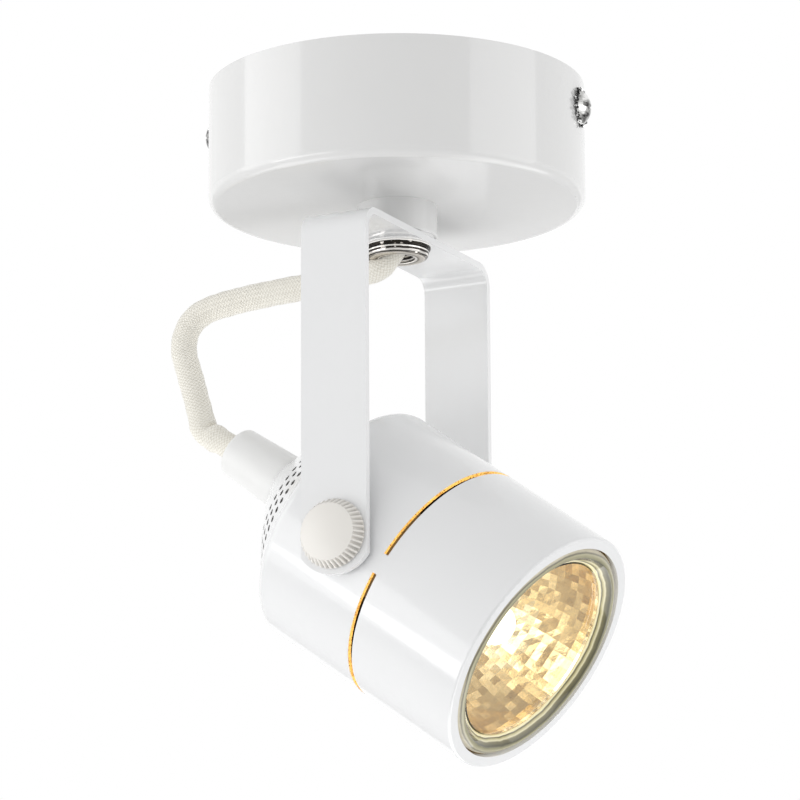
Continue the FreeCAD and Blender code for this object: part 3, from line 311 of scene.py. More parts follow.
def stem_nickel():
    """Plate on the stem's nut and washer with painted reflections: dark and bright bands round it, rings on
    its bottom face, painted shade in the grooves between them, and a painted highlight that glows on its
    upper part.
    """
    paint = Paint("stem_nickel", Base_Color=(0.8, 0.78, 0.75, 1), Metallic=1.0, Roughness=0.12,
                  Emission_Strength=0.45)
    spot = paint.place()
    x, y, z = paint.axes(spot)
    streak = paint.noise(paint.add("ShaderNodeMapping", {}, {"Vector": spot, "Scale": (1, 1, 0.25)}),
                         0.28, 2.0, 0.4)
    level = z + (streak - 0.5) * 0.35
    # painted reflections with painted shade in the grooves: dark and bright bands up the nut and washer
    tone = paint.add("ShaderNodeValToRGB", {"stops": (
        (0.0, (0.28, 0.26, 0.23, 1)),
        (1.0, (0.34, 0.32, 0.30, 1)),
        (0.095, (0.30, 0.28, 0.26, 1)),
        (0.12, (0.03, 0.027, 0.022, 1)),
        (0.155, (0.04, 0.035, 0.03, 1)),
        (0.19, (0.85, 0.83, 0.80, 1)),
        (0.28, (0.78, 0.75, 0.72, 1)),
        (0.30, (0.03, 0.027, 0.025, 1)),
        (0.435, (0.04, 0.035, 0.03, 1)),
        (0.455, (0.92, 0.90, 0.86, 1)),
        (0.56, (0.85, 0.82, 0.78, 1)),
        (0.58, (0.022, 0.02, 0.018, 1)),
        (0.81, (0.03, 0.027, 0.022, 1)),
        (0.83, (0.86, 0.85, 0.83, 1)),
        (0.875, (0.80, 0.79, 0.77, 1)),
        (0.89, (0.38, 0.37, 0.36, 1)),
    )}, ((level + 38.4) / 3.2,))
    radius = (x * x + y * y) ** 0.5
    # painted reflections: dark and bright rings across the bottom face
    face = paint.add("ShaderNodeValToRGB", {"stops": (
        (0.0, (0.03, 0.025, 0.02, 1)),
        (1.0, (0.12, 0.11, 0.1, 1)),
        (0.11, (0.75, 0.72, 0.67, 1)),
        (0.25, (0.85, 0.82, 0.77, 1)),
        (0.30, (0.08, 0.065, 0.05, 1)),
        (0.36, (0.25, 0.21, 0.16, 1)),
        (0.44, (0.56, 0.52, 0.46, 1)),
        (0.70, (0.66, 0.62, 0.56, 1)),
        (0.80, (0.07, 0.06, 0.05, 1)),
    )}, ((radius - 3.4) / 3.5,))
    tone = paint.blend(z < -38.1, tone, face)
    # painted highlight: bright patches breaking up the dark bands
    highlight_patch = (paint.noise(spot, 0.42, 2.0, 0.6) > 0.63) * (radius > 6.3)
    tone = paint.blend(highlight_patch * 0.7, tone, (0.8, 0.77, 0.73))
    paint.drive("Base Color", tone)
    # painted highlight: the upper part glows in emission, though it is no lamp
    upper_glow = (level > -35.8) * (radius > 6.3)
    paint.drive("Emission Color", paint.blend(upper_glow, paint.blend(0.25, (0, 0, 0), tone),
                                              (0.9, 0.88, 0.85)))
    paint.drive("Roughness", paint.noise(spot, 1.2, 3.0) * 0.14 + 0.04)
    return paint.material


def plated(name, colour, roughness, scratch, grain):
    """Bright plate with faint turning marks and cloudy wear."""
    paint = Paint(name, Base_Color=(*colour, 1), Metallic=1.0, Roughness=roughness)
    spot = paint.place()
    cloud = paint.noise(spot, 0.6, 3.0)
    dull = [0.72 * part for part in colour]
    paint.drive("Base Color", paint.blend(cloud * 0.6, colour, dull))
    marks = paint.noise(paint.add("ShaderNodeMapping", {}, {"Vector": spot, "Scale": grain}), 3.0, 4.0)
    paint.drive("Roughness", (cloud * 0.14 + marks * 0.12 + (roughness - 0.11)).clamp())
    paint.bump(marks, scratch, 0.05)
    return paint.material


def screw_plate():
    """Plate on a screw's head, grey, with painted reflections: dark streaks across it."""
    paint = Paint("screw_plate", Base_Color=(0.6, 0.6, 0.59, 1), Metallic=1.0, Roughness=0.2)
    spot = paint.place()
    streak = paint.noise(paint.add("ShaderNodeMapping", {}, {"Vector": spot, "Scale": (0.7, 0.35, 1.0)}),
                         0.75, 2.0, 0.5)
    # painted reflections: dark and bright streaks across the head
    tone = paint.add("ShaderNodeValToRGB", {"stops": (
        (0.36, (0.06, 0.06, 0.06, 1)),
        (0.62, (0.84, 0.84, 0.83, 1)),
        (0.44, (0.42, 0.42, 0.41, 1)),
        (0.54, (0.55, 0.55, 0.54, 1)),
    )}, (streak,))
    paint.drive("Base Color", tone)
    paint.drive("Roughness", streak * 0.2 + 0.08)
    return paint.material


def star_plate():
    """Painted reflections: bright and black patches on the teeth of a toothed washer."""
    paint = Paint("star_washer_plate", Metallic=1.0, Roughness=0.2)
    spot = paint.place()
    patch = paint.noise(spot, 1.3, 2.0, 0.7)
    # painted reflections: black and bright patches on the teeth
    tone = paint.add("ShaderNodeValToRGB", {"stops": (
        (0.44, (0.01, 0.01, 0.01, 1)),
        (0.56, (0.95, 0.95, 0.94, 1)),
        (0.5, (0.25, 0.25, 0.25, 1)),
    )}, (patch,))
    paint.drive("Base Color", tone)
    paint.drive("Roughness", patch * 0.3 + 0.08)
    return paint.material


def moulded(name, colour, roughness, grain=1.6, sheen=0.25):
    """Moulded plastic with a fine spark texture and slight mottling."""
    paint = Paint(name, Base_Color=(*colour, 1), Roughness=roughness, Specular_IOR_Level=0.45,
                  Subsurface_Weight=0.0, Coat_Weight=sheen, Coat_Roughness=0.3)
    spot = paint.place()
    mottle = paint.noise(spot, 0.25, 3.0)
    paint.drive("Base Color", paint.blend(mottle, [0.95 * part for part in colour], colour))
    fine = paint.noise(spot, grain, 3.0)
    paint.drive("Roughness", fine * 0.12 + (roughness - 0.06))
    paint.bump(fine, 0.12, 0.08)
    return paint.material


def knob_plastic(looks):
    """The knobs' plastic, with painted shade down in the grooves between the ridges."""
    material = moulded("ridged_plastic", looks.knob, 0.42)
    paint = Paint.__new__(Paint)
    paint.material, paint.tree = material, material.node_tree
    paint.shader = next(n for n in paint.tree.nodes if n.type == "BSDF_PRINCIPLED")
    x, y, z = paint.axes(paint.head_place())
    out = paint.add("ShaderNodeMath", {"operation": "ABSOLUTE"}, (y,)) - KNOB_SEAT
    rim = KNOB_RADIUS - (out - 0.75).maths("MAXIMUM", out - 0.75, 0.0) * 0.524
    # painted shade: the plastic is darkened down in the grooves between the ridges
    groove_shade = ((rim - (x * x + z * z) ** 0.5) / 0.55).clamp() * (out < 3.0)
    paint.drive("Base Color", paint.blend(groove_shade, looks.knob, [0.74 * part for part in looks.knob]))
    return material


def ceramic(looks):
    """Unglazed pressed ceramic: pale, dry, with tiny pits."""
    paint = Paint("pressed_ceramic", Base_Color=(*looks.ceramic, 1), Roughness=0.75)
    spot = paint.place()
    cloud = paint.noise(spot, 0.3, 4.0)
    paint.drive("Base Color", paint.blend(cloud, [0.86 * part for part in looks.ceramic], looks.ceramic))
    pits = paint.noise(spot, 4.0, 2.0)
    paint.drive("Roughness", pits * 0.2 + 0.62)
    paint.bump(pits, 0.35, 0.1)
    return paint.material


def earth_insulation():
    """Green insulation with a yellow stripe along it."""
    paint = Paint("green_yellow_insulation", Roughness=0.45)
    spot = paint.place()
    side = paint.axes(spot)[1]
    stripe = (side * 1.4 + paint.noise(spot, 0.7) * 0.3) > 0.2
    paint.drive("Base Color", paint.blend(stripe, (0.1, 0.36, 0.08), (0.82, 0.72, 0.06)))
    paint.drive("Roughness", paint.noise(spot, 2.0) * 0.15 + 0.38)
    return paint.material


def braid(looks, woven):
    """Braided sleeve: crossing bundles of yarn, coloured darker between the yarns as painted shade. The
    long lead's weave follows its own map.
    """
    paint = Paint("braided_sleeve" if woven else "braided_sleeve_ends",
                  Base_Color=(*looks.braid, 1), Roughness=0.8, Sheen_Weight=0.5, Sheen_Roughness=0.5)
    if woven:
        around, along = paint.axes(paint.add("ShaderNodeUVMap", {"uv_map": "weave"}))[:2]
    else:
        spot = paint.head_place()
        x, y, z = paint.axes(spot)
        around = paint.add("ShaderNodeMath", {"operation": "ARCTAN2"}, (z, y)) / math.tau
        along = x / 17.9
    right = around * 16 + along * 24
    left = around * 16 - along * 24
    over = (right.maths("FLOOR", right) + left.maths("FLOOR", left)) % 2.0
    rib_right = 1 - (2 * (right % 1.0) - 1) ** 2.0
    rib_left = 1 - (2 * (left % 1.0) - 1) ** 2.0
    yarn = over * rib_right + (1 - over) * rib_left
    strands = paint.add("ShaderNodeMath", {"operation": "SINE"}, (right * (over * 2 - 1) * 25.0,))
    height = yarn + strands * 0.06
    spot = paint.place()
    soil = paint.noise(spot, 0.18, 4.0)
    # painted shade: darker where the yarn bundles dip between each other, with random soil on top
    shade = (yarn * 0.7 + 0.42 - soil * 0.25).clamp()
    yarn_gap_shade = [part * share for part, share in zip(looks.braid, (0.68, 0.65, 0.57))]
    paint.drive("Base Color", paint.blend(shade, yarn_gap_shade, looks.braid))
    paint.drive("Roughness", 0.88 - yarn * 0.12)
    paint.bump(height, 0.5, 0.2)
    return paint.material


def facet_mirror(looks):
    """Gold-coated mirror facets, each with its own tone, with a painted glow of the lamp's light that is
    stronger towards the bowl's foot.
    """
    paint = Paint("faceted_mirror", Base_Color=(*looks.mirror, 1), Metallic=1.0, Roughness=0.05,
                  Emission_Strength=looks.glow)
    spot = paint.head_place()
    facet = paint.add("ShaderNodeAttribute", {"attribute_name": "facet"}, output="Fac")
    x, y, z = paint.axes(spot)
    ripple = paint.noise(spot, 1.3, 4.0, 0.6)
    patch = paint.noise(spot, 0.11, 1.0)
    depth = ((x - 9.0) / 26.0).clamp()
    level = (depth * 0.45 + facet * 0.5 + ripple * 0.35 + patch * 0.6 - 0.46).clamp()
    # painted light: the facets' emission colour stands in for the lamp light that they reflect
    glow_tint = paint.add("ShaderNodeValToRGB", {"stops": (
        (0.0, (0.9, 0.84, 0.62, 1)),
        (1.0, (0.03, 0.018, 0.008, 1)),
        (0.16, (0.66, 0.55, 0.32, 1)),
        (0.36, (0.3, 0.22, 0.11, 1)),
        (0.62, (0.11, 0.075, 0.035, 1)),
    )}, (level,))
    paint.drive("Emission Color", glow_tint)
    coat = [share * part for share, part in zip((0.6, 0.53, 0.42), looks.mirror)]
    paint.drive("Base Color", paint.blend((facet * 0.9 + ripple * 0.5 - 0.2).clamp(), looks.mirror, coat))
    paint.drive("Roughness", ripple * 0.12 - 0.02)
    paint.bump(ripple, 0.25, 0.12)
    return paint.material


def bowl_glass(looks):
    """Outside of the reflector: coated glass that lets warm light through, specked where it is bare."""
    paint = Paint("coated_bowl_glass", Base_Color=(0.55, 0.36, 0.14, 1), Roughness=0.2,
                  Emission_Strength=looks.glow * 0.9)
    spot = paint.head_place()
    patch = paint.noise(spot, 0.5, 3.0)
    paint.drive("Emission Color", speckled_gold(paint, spot))
    paint.drive("Base Color", paint.blend(patch, (0.3, 0.17, 0.06), (0.7, 0.5, 0.22)))
    paint.drive("Roughness", patch * 0.2 + 0.1)
    return paint.material


def pressed_rim():
    """Thick pressed glass round the lens: olive through its depth, ringed with painted glow and painted
    reflections, light and dark.
    """
    paint = Paint("pressed_glass_rim", Base_Color=(0.3, 0.28, 0.17, 1), Roughness=0.06,
                  Specular_IOR_Level=0.6, Coat_Weight=0.35, Coat_Roughness=0.02, Emission_Strength=0.12)
    spot = paint.head_place()
    x, y, z = paint.axes(spot)
    radius = (y * y + z * z) ** 0.5
    around = paint.add("ShaderNodeVectorMath", {"operation": "NORMALIZE"},
                       (paint.add("ShaderNodeCombineXYZ", {}, (0.0, y, z)),))
    wave = paint.noise(around, 2.2, 3.0, 0.6)
    ring = (radius - 20.9) / 4.0 + (wave - 0.5) * 0.22
    # painted light: rings of glow and reflection, light and dark, in colour and emission
    tone = paint.add("ShaderNodeValToRGB", {"stops": (
        (0.0, (0.95, 0.83, 0.45, 1)),
        (1.0, (0.74, 0.7, 0.62, 1)),
        (0.10, (0.98, 0.90, 0.6, 1)),
        (0.14, (0.07, 0.06, 0.025, 1)),
        (0.19, (0.5, 0.45, 0.22, 1)),
        (0.26, (0.82, 0.76, 0.5, 1)),
        (0.31, (0.2, 0.18, 0.09, 1)),
        (0.46, (0.07, 0.065, 0.03, 1)),
        (0.55, (0.26, 0.245, 0.14, 1)),
        (0.72, (0.42, 0.39, 0.25, 1)),
        (0.80, (0.13, 0.12, 0.08, 1)),
        (0.88, (0.55, 0.5, 0.36, 1)),
    )}, (ring,))
    paint.drive("Base Color", tone)
    paint.drive("Emission Color", tone)
    paint.drive("Roughness", wave * 0.1 + 0.02)
    return paint.material


def clear_glass(name, colour, roughness=0.0):
    paint = Paint(name, Base_Color=(*colour, 1), Roughness=roughness, Transmission_Weight=1.0, IOR=1.47)
    spot = paint.head_place()
    ripple = paint.noise(spot, 0.22, 2.0)
    paint.drive("Base Color", paint.blend(ripple * 0.5, colour, [0.97 * part for part in colour]))
    paint.bump(ripple, 0.04, 0.3)
    return paint.material


def glowing(name, colour, strength, roughness):
    """A piece that shines with its own light, a little uneven."""
    paint = Paint(name, Base_Color=(*colour, 1), Roughness=roughness, Emission_Strength=strength)
    spot = paint.head_place()
    wave = paint.noise(spot, 1.2, 2.0)
    paint.drive("Emission Color", paint.blend(wave, colour, [0.8 * part for part in colour]))
    paint.drive("Base Color", paint.blend(wave, colour, [0.9 * part for part in colour]))
    return paint.material


# ---------------------------------------------------------------- modelling helpers

def clear_selection():
    if bpy.context.object and bpy.context.object.mode != "OBJECT":
        bpy.ops.object.mode_set(mode="OBJECT")
    bpy.ops.object.select_all(action="DESELECT")


def turned(name, profile, sides, foot="NOTHING"):
    """A turned shape about Z: a circle drawn out ring by ring along (radius, height), in millimetres.

    A profile that comes back to its start gives a closed ring, and a foot of NGON closes the first circle.
    """
    clear_selection()
    radius, height = profile[0]
    bpy.ops.mesh.primitive_circle_add(vertices=sides, radius=radius * MM, fill_type=foot)
    piece = bpy.context.object
    piece.name = name
    bpy.ops.object.mode_set(mode="EDIT")
    bpy.ops.mesh.select_all(action="SELECT")
    bpy.ops.transform.translate(value=(0, 0, height * MM))
    for wider, higher in profile[1:]:
        bpy.ops.mesh.extrude_region_move(
            TRANSFORM_OT_translate={"value": (0, 0, (higher - height) * MM)})
        height = higher
        if wider == 0:
            bpy.ops.mesh.merge(type="CENTER")
            continue
        bpy.ops.transform.resize(value=(wider / radius, wider / radius, 1),
                                 center_override=(0, 0, higher * MM))
        radius = wider
    bpy.ops.mesh.select_all(action="SELECT")
    bpy.ops.mesh.remove_doubles(threshold=0.002 * MM)
    bpy.ops.mesh.normals_make_consistent(inside=False)
    bpy.ops.object.mode_set(mode="OBJECT")
    return piece


def settle(piece, frame_matrix, body, material):
    """Puts a finished piece in its frame, applies its place and lets it ride."""
    clear_selection()
    piece.select_set(True)
    bpy.context.view_layer.objects.active = piece
    piece.matrix_world = frame_matrix
    bpy.ops.object.transform_apply(location=True, rotation=True, scale=True)
    piece.data.materials.clear()
    piece.data.materials.append(material)
    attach(piece, body)
    return piece


def fold_shape(run, angle):
    """How much a sleeve stands in or out beside a fold: a crease inside it and a bulge each side of it."""
    inner = max(0.0, math.sin(angle)) ** 2
    crease = -0.28 * math.exp(-(run / 0.75) ** 2) * inner
    bulge = 0.09 * math.exp(-((abs(run) - 2.2) / 1.2) ** 2)
    return crease + bulge


def press(place, centre):
    """Keeps a point of the lead inside the stem's bore, or under the round nut's bottom."""
    radius, height = place.xy.length / MM, place.z / MM
    if height < NUT_BOTTOM or radius < TUBE_BORE:
        return place
    if centre.z / MM > NUT_BOTTOM:
        share = TUBE_BORE / radius
        return Vector((place.x * share, place.y * share, place.z))
    rise = 0.0
    if radius > NUT_RADIUS - NUT_EDGE:
        out = min(radius - NUT_RADIUS + NUT_EDGE, NUT_EDGE)
        rise = NUT_EDGE - math.sqrt(NUT_EDGE ** 2 - out ** 2)
    return Vector((place.x, place.y, min(height, NUT_BOTTOM + rise) * MM))


def arc(first, last, radius, steps):
    """Points after the first on an arc that bulges away from the Z axis; (radius, height) pairs."""
    (r0, z0), (r1, z1) = first, last
    chord = math.hypot(r1 - r0, z1 - z0)
    rise = math.sqrt(radius ** 2 - chord ** 2 / 4)
    side = ((z1 - z0) / chord, -(r1 - r0) / chord)
    if side[0] < 0:
        side = (-side[0], -side[1])
    cr = (r0 + r1) / 2 - side[0] * rise
    cz = (z0 + z1) / 2 - side[1] * rise
    start = math.atan2(z0 - cz, r0 - cr)
    sweep = math.atan2(z1 - cz, r1 - cr) - start
    return [(cr + radius * math.cos(start + sweep * i / steps),
             cz + radius * math.sin(start + sweep * i / steps)) for i in range(1, steps + 1)]


# ---------------------------------------------------------------- settings

class SpotlightLooks(bpy.types.PropertyGroup):
    """Colours and sizes of the finished pieces."""

    enamel: FloatVectorProperty(name="Enamel", description="Gloss paint of the metal parts",
                                subtype="COLOR", default=(0.86, 0.865, 0.87))
    # painted shade: the cup and the stem have the same gloss paint as the rest, set darker to stand in for
    # the light they get
    canopy: FloatVectorProperty(name="Canopy", description="Gloss paint of the cup and the stem",
                                subtype="COLOR", default=(0.79, 0.79, 0.785))
    knob: FloatVectorProperty(name="Knob plastic", description="Off-white moulded plastic",
                              subtype="COLOR", default=(0.86, 0.835, 0.79))
    braid: FloatVectorProperty(name="Braid", description="Yarn of the lead's sleeve",
                               subtype="COLOR", default=(0.97, 0.945, 0.87))
    ceramic: FloatVectorProperty(name="Ceramic", description="Lampholder and lamp base",
                                 subtype="COLOR", default=(0.84, 0.81, 0.75))
    mirror: FloatVectorProperty(name="Mirror", description="Reflector coating",
                                subtype="COLOR", default=(0.95, 0.84, 0.6))
    glow: FloatProperty(name="Glow", description="How strongly the lamp shines", default=1.0, min=0.0)
    ridges: IntProperty(name="Knob ridges", description="Ridges round a knob", default=40, min=12)
    ridge_depth: FloatProperty(name="Ridge depth", description="Depth of a ridge, in millimetres",
                               default=0.7, min=0.0)
    facet_columns: IntProperty(name="Facet columns", description="Mirror facets round the bowl",
                               default=68, min=12)
    facet_rows: IntProperty(name="Facet rows", description="Mirror facets up the bowl's side",
                            default=17, min=3)
    lead: FloatProperty(name="Lead", description="Diameter of the braided lead, in millimetres",
                        default=5.7, min=2.0)


class SpotlightStudio(bpy.types.PropertyGroup):
    """Camera and lights."""

    lens: FloatProperty(name="Lens", description="Focal length", unit="CAMERA", default=219.52)
    ambient: FloatProperty(name="Surround", description="Even light from all round", default=0.68)
    left: FloatProperty(name="Left", description="Soft light from the left", unit="POWER", default=3.1)
    low: FloatProperty(name="Low", description="Soft light from low on the left", unit="POWER",
                       default=6.6)
    right: FloatProperty(name="Right", description="Soft light from the right", unit="POWER",
                         default=2.4)
    under: FloatProperty(name="Under", description="Soft light from below", unit="POWER", default=3.5)


# ---------------------------------------------------------------- operators

class SPOTLIGHT_OT_finishes(bpy.types.Operator):
    """Gives every solid of the frame its finish"""

    bl_idname = "spotlight.finishes"
    bl_label = "Finishes"

    def execute(self, context):
        looks = context.scene.spotlight_looks
        finishes = {
            "enamel": enamel(looks, "gloss_white_enamel", looks.enamel),
            "canopy_shaded_enamel": enamel(looks, "gloss_white_canopy_shaded", looks.canopy),
            "housing_enamel": enamel(looks, "gloss_white_housing", looks.enamel, inside_housing, slot_wall),
            "cap_enamel": enamel(looks, "gloss_white_cap", looks.enamel, inside_cap),
            "stem_nickel": stem_nickel(),
            "screw_plate": screw_plate(),
            "nickel": plated("bright_nickel", (0.80, 0.785, 0.755), 0.16, 0.12, (1, 1, 14)),
            "dark_zinc": plated("dark_plate", (0.20, 0.20, 0.205), 0.32, 0.2, (6, 1, 1)),
            "zinc_steel": plated("zinc_sheet", (0.62, 0.63, 0.64), 0.34, 0.25, (1, 12, 1)),
            "brass": plated("bright_brass", (0.78, 0.58, 0.27), 0.24, 0.15, (8, 1, 1)),
            "nylon": moulded("white_nylon", (0.86, 0.86, 0.855), 0.3, grain=0.6, sheen=0.1),
            "knob_plastic": moulded("off_white_plastic", looks.knob, 0.42),
            "boot_plastic": moulded("white_plastic", (0.885, 0.885, 0.875), 0.38),
            "terminal_plastic": moulded("terminal_plastic", (0.84, 0.84, 0.80), 0.5),
            "brown_wire": moulded("brown_insulation", (0.20, 0.09, 0.04), 0.4, sheen=0.1),
            "blue_wire": moulded("blue_insulation", (0.05, 0.16, 0.48), 0.4, sheen=0.1),
            "earth_wire": earth_insulation(),
            "silicone": moulded("silicone_sleeve", (0.84, 0.82, 0.77), 0.6, grain=2.5, sheen=0.0),
            "ceramic": ceramic(looks),
            "braid": braid(looks, woven=False),
            "lens": clear_glass("front_glass", (0.97, 0.985, 0.93)),
            "capsule": glowing("capsule_glow", (1.0, 0.93, 0.74), 2.4 * looks.glow, 0.1),
            "filament": glowing("filament_glow", (1.0, 0.85, 0.6), 8.0 * looks.glow, 0.5),
            "bowl_glass": bowl_glass(looks),
        }
        for finish, nodes in SLOTS.items():
            for node in nodes:
                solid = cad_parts[node]
                if not solid.material_slots:
                    solid.data.materials.append(finishes[finish])
                for slot in solid.material_slots:
                    slot.material = finishes[finish]
        return {"FINISHED"}


class SPOTLIGHT_OT_knobs(bpy.types.Operator):
    """Moulds the two thumb knobs with their ridged rims"""

    bl_idname = "spotlight.knobs"
    bl_label = "Thumb knobs"

    def execute(self, context):
        looks = context.scene.spotlight_looks
        material = knob_plastic(looks)
        sides = looks.ridges * 4
        profile = [(2.1, 0.0), (7.0, 0.0), (7.3, 0.12), (KNOB_RADIUS, 0.4), (KNOB_RADIUS, 0.75),
                   (6.35, 2.85), (6.12, 3.1)]
        crown = (6.12 ** 2 + 1.42 ** 2) / (2 * 1.42)
        for step in range(1, 9):
            radius = 6.12 * (1 - step / 9)
            profile.append((radius, 3.1 + 1.42 - crown + math.sqrt(crown ** 2 - radius ** 2)))
        profile.append((0, 4.52))
        for node, body, turn in (("front_knob", "knob_front", 90), ("rear_knob", "knob_rear", -90)):
            knob = turned(f"{node}_ridged", profile, sides)
            bpy.ops.object.mode_set(mode="EDIT")
            for low, high, share in ((0.3, 0.9, 1.0), (2.8, 2.9, 0.65)):
                bpy.ops.mesh.select_all(action="DESELECT")
                shape = bmesh.from_edit_mesh(knob.data)
                for vertex in shape.verts:
                    place = vertex.co / MM
                    around = math.atan2(place.y, place.x) / math.tau * sides
                    rim = low < place.z < high and place.xy.length > 6.2
                    vertex.select_set(rim and round(around) % 4 in (0, 1))
                shape.select_flush_mode()
                bmesh.update_edit_mesh(knob.data)
                shrink = 1 - share * looks.ridge_depth / KNOB_RADIUS
                bpy.ops.transform.resize(value=(shrink, shrink, 1), center_override=(0, 0, 0))
            bpy.ops.object.mode_set(mode="OBJECT")
            bpy.ops.object.shade_smooth_by_angle(angle=math.radians(32))
            place = HEAD @ Matrix.Rotation(math.radians(turn), 4, "X")
            place = place @ Matrix.Translation((0, 0, KNOB_SEAT * MM))
            settle(knob, place, body, material)
            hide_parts(node)
        return {"FINISHED"}


class SPOTLIGHT_OT_lead(bpy.types.Operator):
    """Runs the braided lead from the stem round into the boot"""

    bl_idname = "spotlight.lead"
    bl_label = "Braided lead"

    def execute(self, context):
        looks = context.scene.spotlight_looks
        radius = looks.lead / 2 * MM
        route = [YOKE @ Vector((out * MM, 0, height * MM)) for out, height in LEAD_ROUTE]
        curve = bpy.data.curves.new("lead_route", "CURVE")
        curve.dimensions = "3D"
        curve.resolution_u = 24
        spline = curve.splines.new("NURBS")
        spline.points.add(len(route) - 1)
        for point, place in zip(spline.points, route):
            point.co = (*place, 1)
        spline.order_u = 3
        spline.use_endpoint_u = True
        holder = bpy.data.objects.new("lead_route", curve)
        context.scene.collection.objects.link(holder)
        context.view_layer.update()
        line = bpy.data.meshes.new_from_object(holder)
        path = [vertex.co.copy() for vertex in line.vertices]
        bpy.data.objects.remove(holder)
        bpy.data.curves.remove(curve)
        bpy.data.meshes.remove(line)

        fold, pinch = (YOKE @ Vector((out * MM, 0, height * MM))
                       for out, height in (LEAD_FOLD, LEAD_PINCH))
        nearest = min(range(len(path)), key=lambda index: (path[index] - fold).length)
        runs = [0.0]
        for before, after in zip(path, path[1:]):
            runs.append(runs[-1] + (after - before).length)
        run_to_fold = [run - runs[nearest] for run in runs]

        across = YOKE @ Vector((0, 1, 0))
        mesh = bpy.data.meshes.new("braided_lead")
        shape = bmesh.new()
        weave = shape.loops.layers.uv.new("weave")
        rings = []
        for index, place in enumerate(path):
            before = path[max(index - 1, 0)]
            after = path[min(index + 1, len(path) - 1)]
            along = (after - before).normalized()
            up = along.cross(across).normalized()
            run = runs[index]
            waist = 0.28 * math.exp(-((place - pinch).length / (2.6 * MM)) ** 2)
            ring = []
            for side in range(LEAD_SIDES):
                angle = math.tau * side / LEAD_SIDES
                slack = 1 + 0.012 * math.sin(run / MM * 1.9 + 2 * angle) + 0.01 * math.sin(run / MM * 0.8)
                slack += fold_shape(run_to_fold[index] / MM, angle) - waist
                spoke = radius * slack * (math.cos(angle) * across + math.sin(angle) * up)
                ring.append(shape.verts.new(press(place + spoke, place)))
            rings.append((ring, run / (math.tau * radius)))
        for (near, v0), (far, v1) in zip(rings, rings[1:]):
            for side in range(LEAD_SIDES):
                after = (side + 1) % LEAD_SIDES
                face = shape.faces.new((near[side], near[after], far[after], far[side]))
                turns = (side, side + 1, side + 1, side)
                for loop, part, v in zip(face.loops, turns, (v0, v0, v1, v1)):
                    loop[weave].uv = (part / LEAD_SIDES, v)
        shape.faces.new(list(reversed(rings[0][0])))
        shape.faces.new(rings[-1][0])
        bmesh.ops.recalc_face_normals(shape, faces=shape.faces)
        shape.to_mesh(mesh)
        shape.free()
        lead = bpy.data.objects.new("braided_lead", mesh)
        context.scene.collection.objects.link(lead)
        clear_selection()
        lead.select_set(True)
        context.view_layer.objects.active = lead
        bpy.ops.object.shade_smooth_by_angle(angle=math.radians(50))
        mesh.materials.append(braid(looks, woven=True))
        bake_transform(lead)
        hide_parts("lamp_cord")
        return {"FINISHED"}


class SPOTLIGHT_OT_lamp(bpy.types.Operator):
    """Lines the lamp's bowl with mirror facets and fits the pressed front lens with its rim"""

    bl_idname = "spotlight.lamp"
    bl_label = "Lamp"

    def execute(self, context):
        looks = context.scene.spotlight_looks
        beam = HEAD @ Matrix.Rotation(math.radians(90), 4, "Y")
        rim, foot = (23.45, 33.0), (11.1, 8.55)
        profile = [(23.45, 35.8), rim] + arc(rim, foot, 46.0, looks.facet_rows) + [(4.9, 8.5)]
        bowl = turned("reflector_facets", profile, looks.facet_columns)
        facet = bowl.data.attributes.new("facet", "FLOAT", "FACE")
        chance = random.Random(5)
        facet.data.foreach_set("value", [chance.random() for _ in bowl.data.polygons])
        bpy.ops.object.mode_set(mode="EDIT")
        bpy.ops.mesh.select_all(action="SELECT")
        bpy.ops.mesh.flip_normals()
        bpy.ops.transform.vertex_random(offset=0.05 * MM, uniform=0.0, normal=1.0, seed=3)
        bpy.ops.object.mode_set(mode="OBJECT")
        bpy.ops.object.shade_flat()
        settle(bowl, beam, "lamp", facet_mirror(looks))

        lens = turned("front_lens", [(20.9, 36.2), (20.9, 38.2), (20.6, 38.5), (0, 38.5)],
                      LENS_SIDES, foot="NGON")
        bpy.ops.object.shade_smooth_by_angle(angle=math.radians(30))
        settle(lens, beam, "lamp", clear_glass("lens_glass", (0.99, 0.995, 0.97)))

        crest = [(20.95, 36.05), (20.95, 38.4), (21.15, 38.62), (21.4, 38.66), (21.55, 38.86),
                 (22.0, 39.35), (22.7, 40.1), (22.95, 40.28), (23.25, 40.33)]
        shoulder = [(24.9 - 1.65 * (1 - math.cos(turn)), 38.68 + 1.65 * math.sin(turn))
                    for turn in (math.radians(80 - 10 * step) for step in range(9))]
        edge = turned("lens_rim", crest + shoulder + [(24.9, 36.05), (20.95, 36.05)], LENS_SIDES)
        bpy.ops.object.shade_smooth_by_angle(angle=math.radians(30))
        settle(edge, beam, "lamp", pressed_rim())
        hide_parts("lamp_front_glass")
        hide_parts("lamp_front_glass")
        return {"FINISHED"}


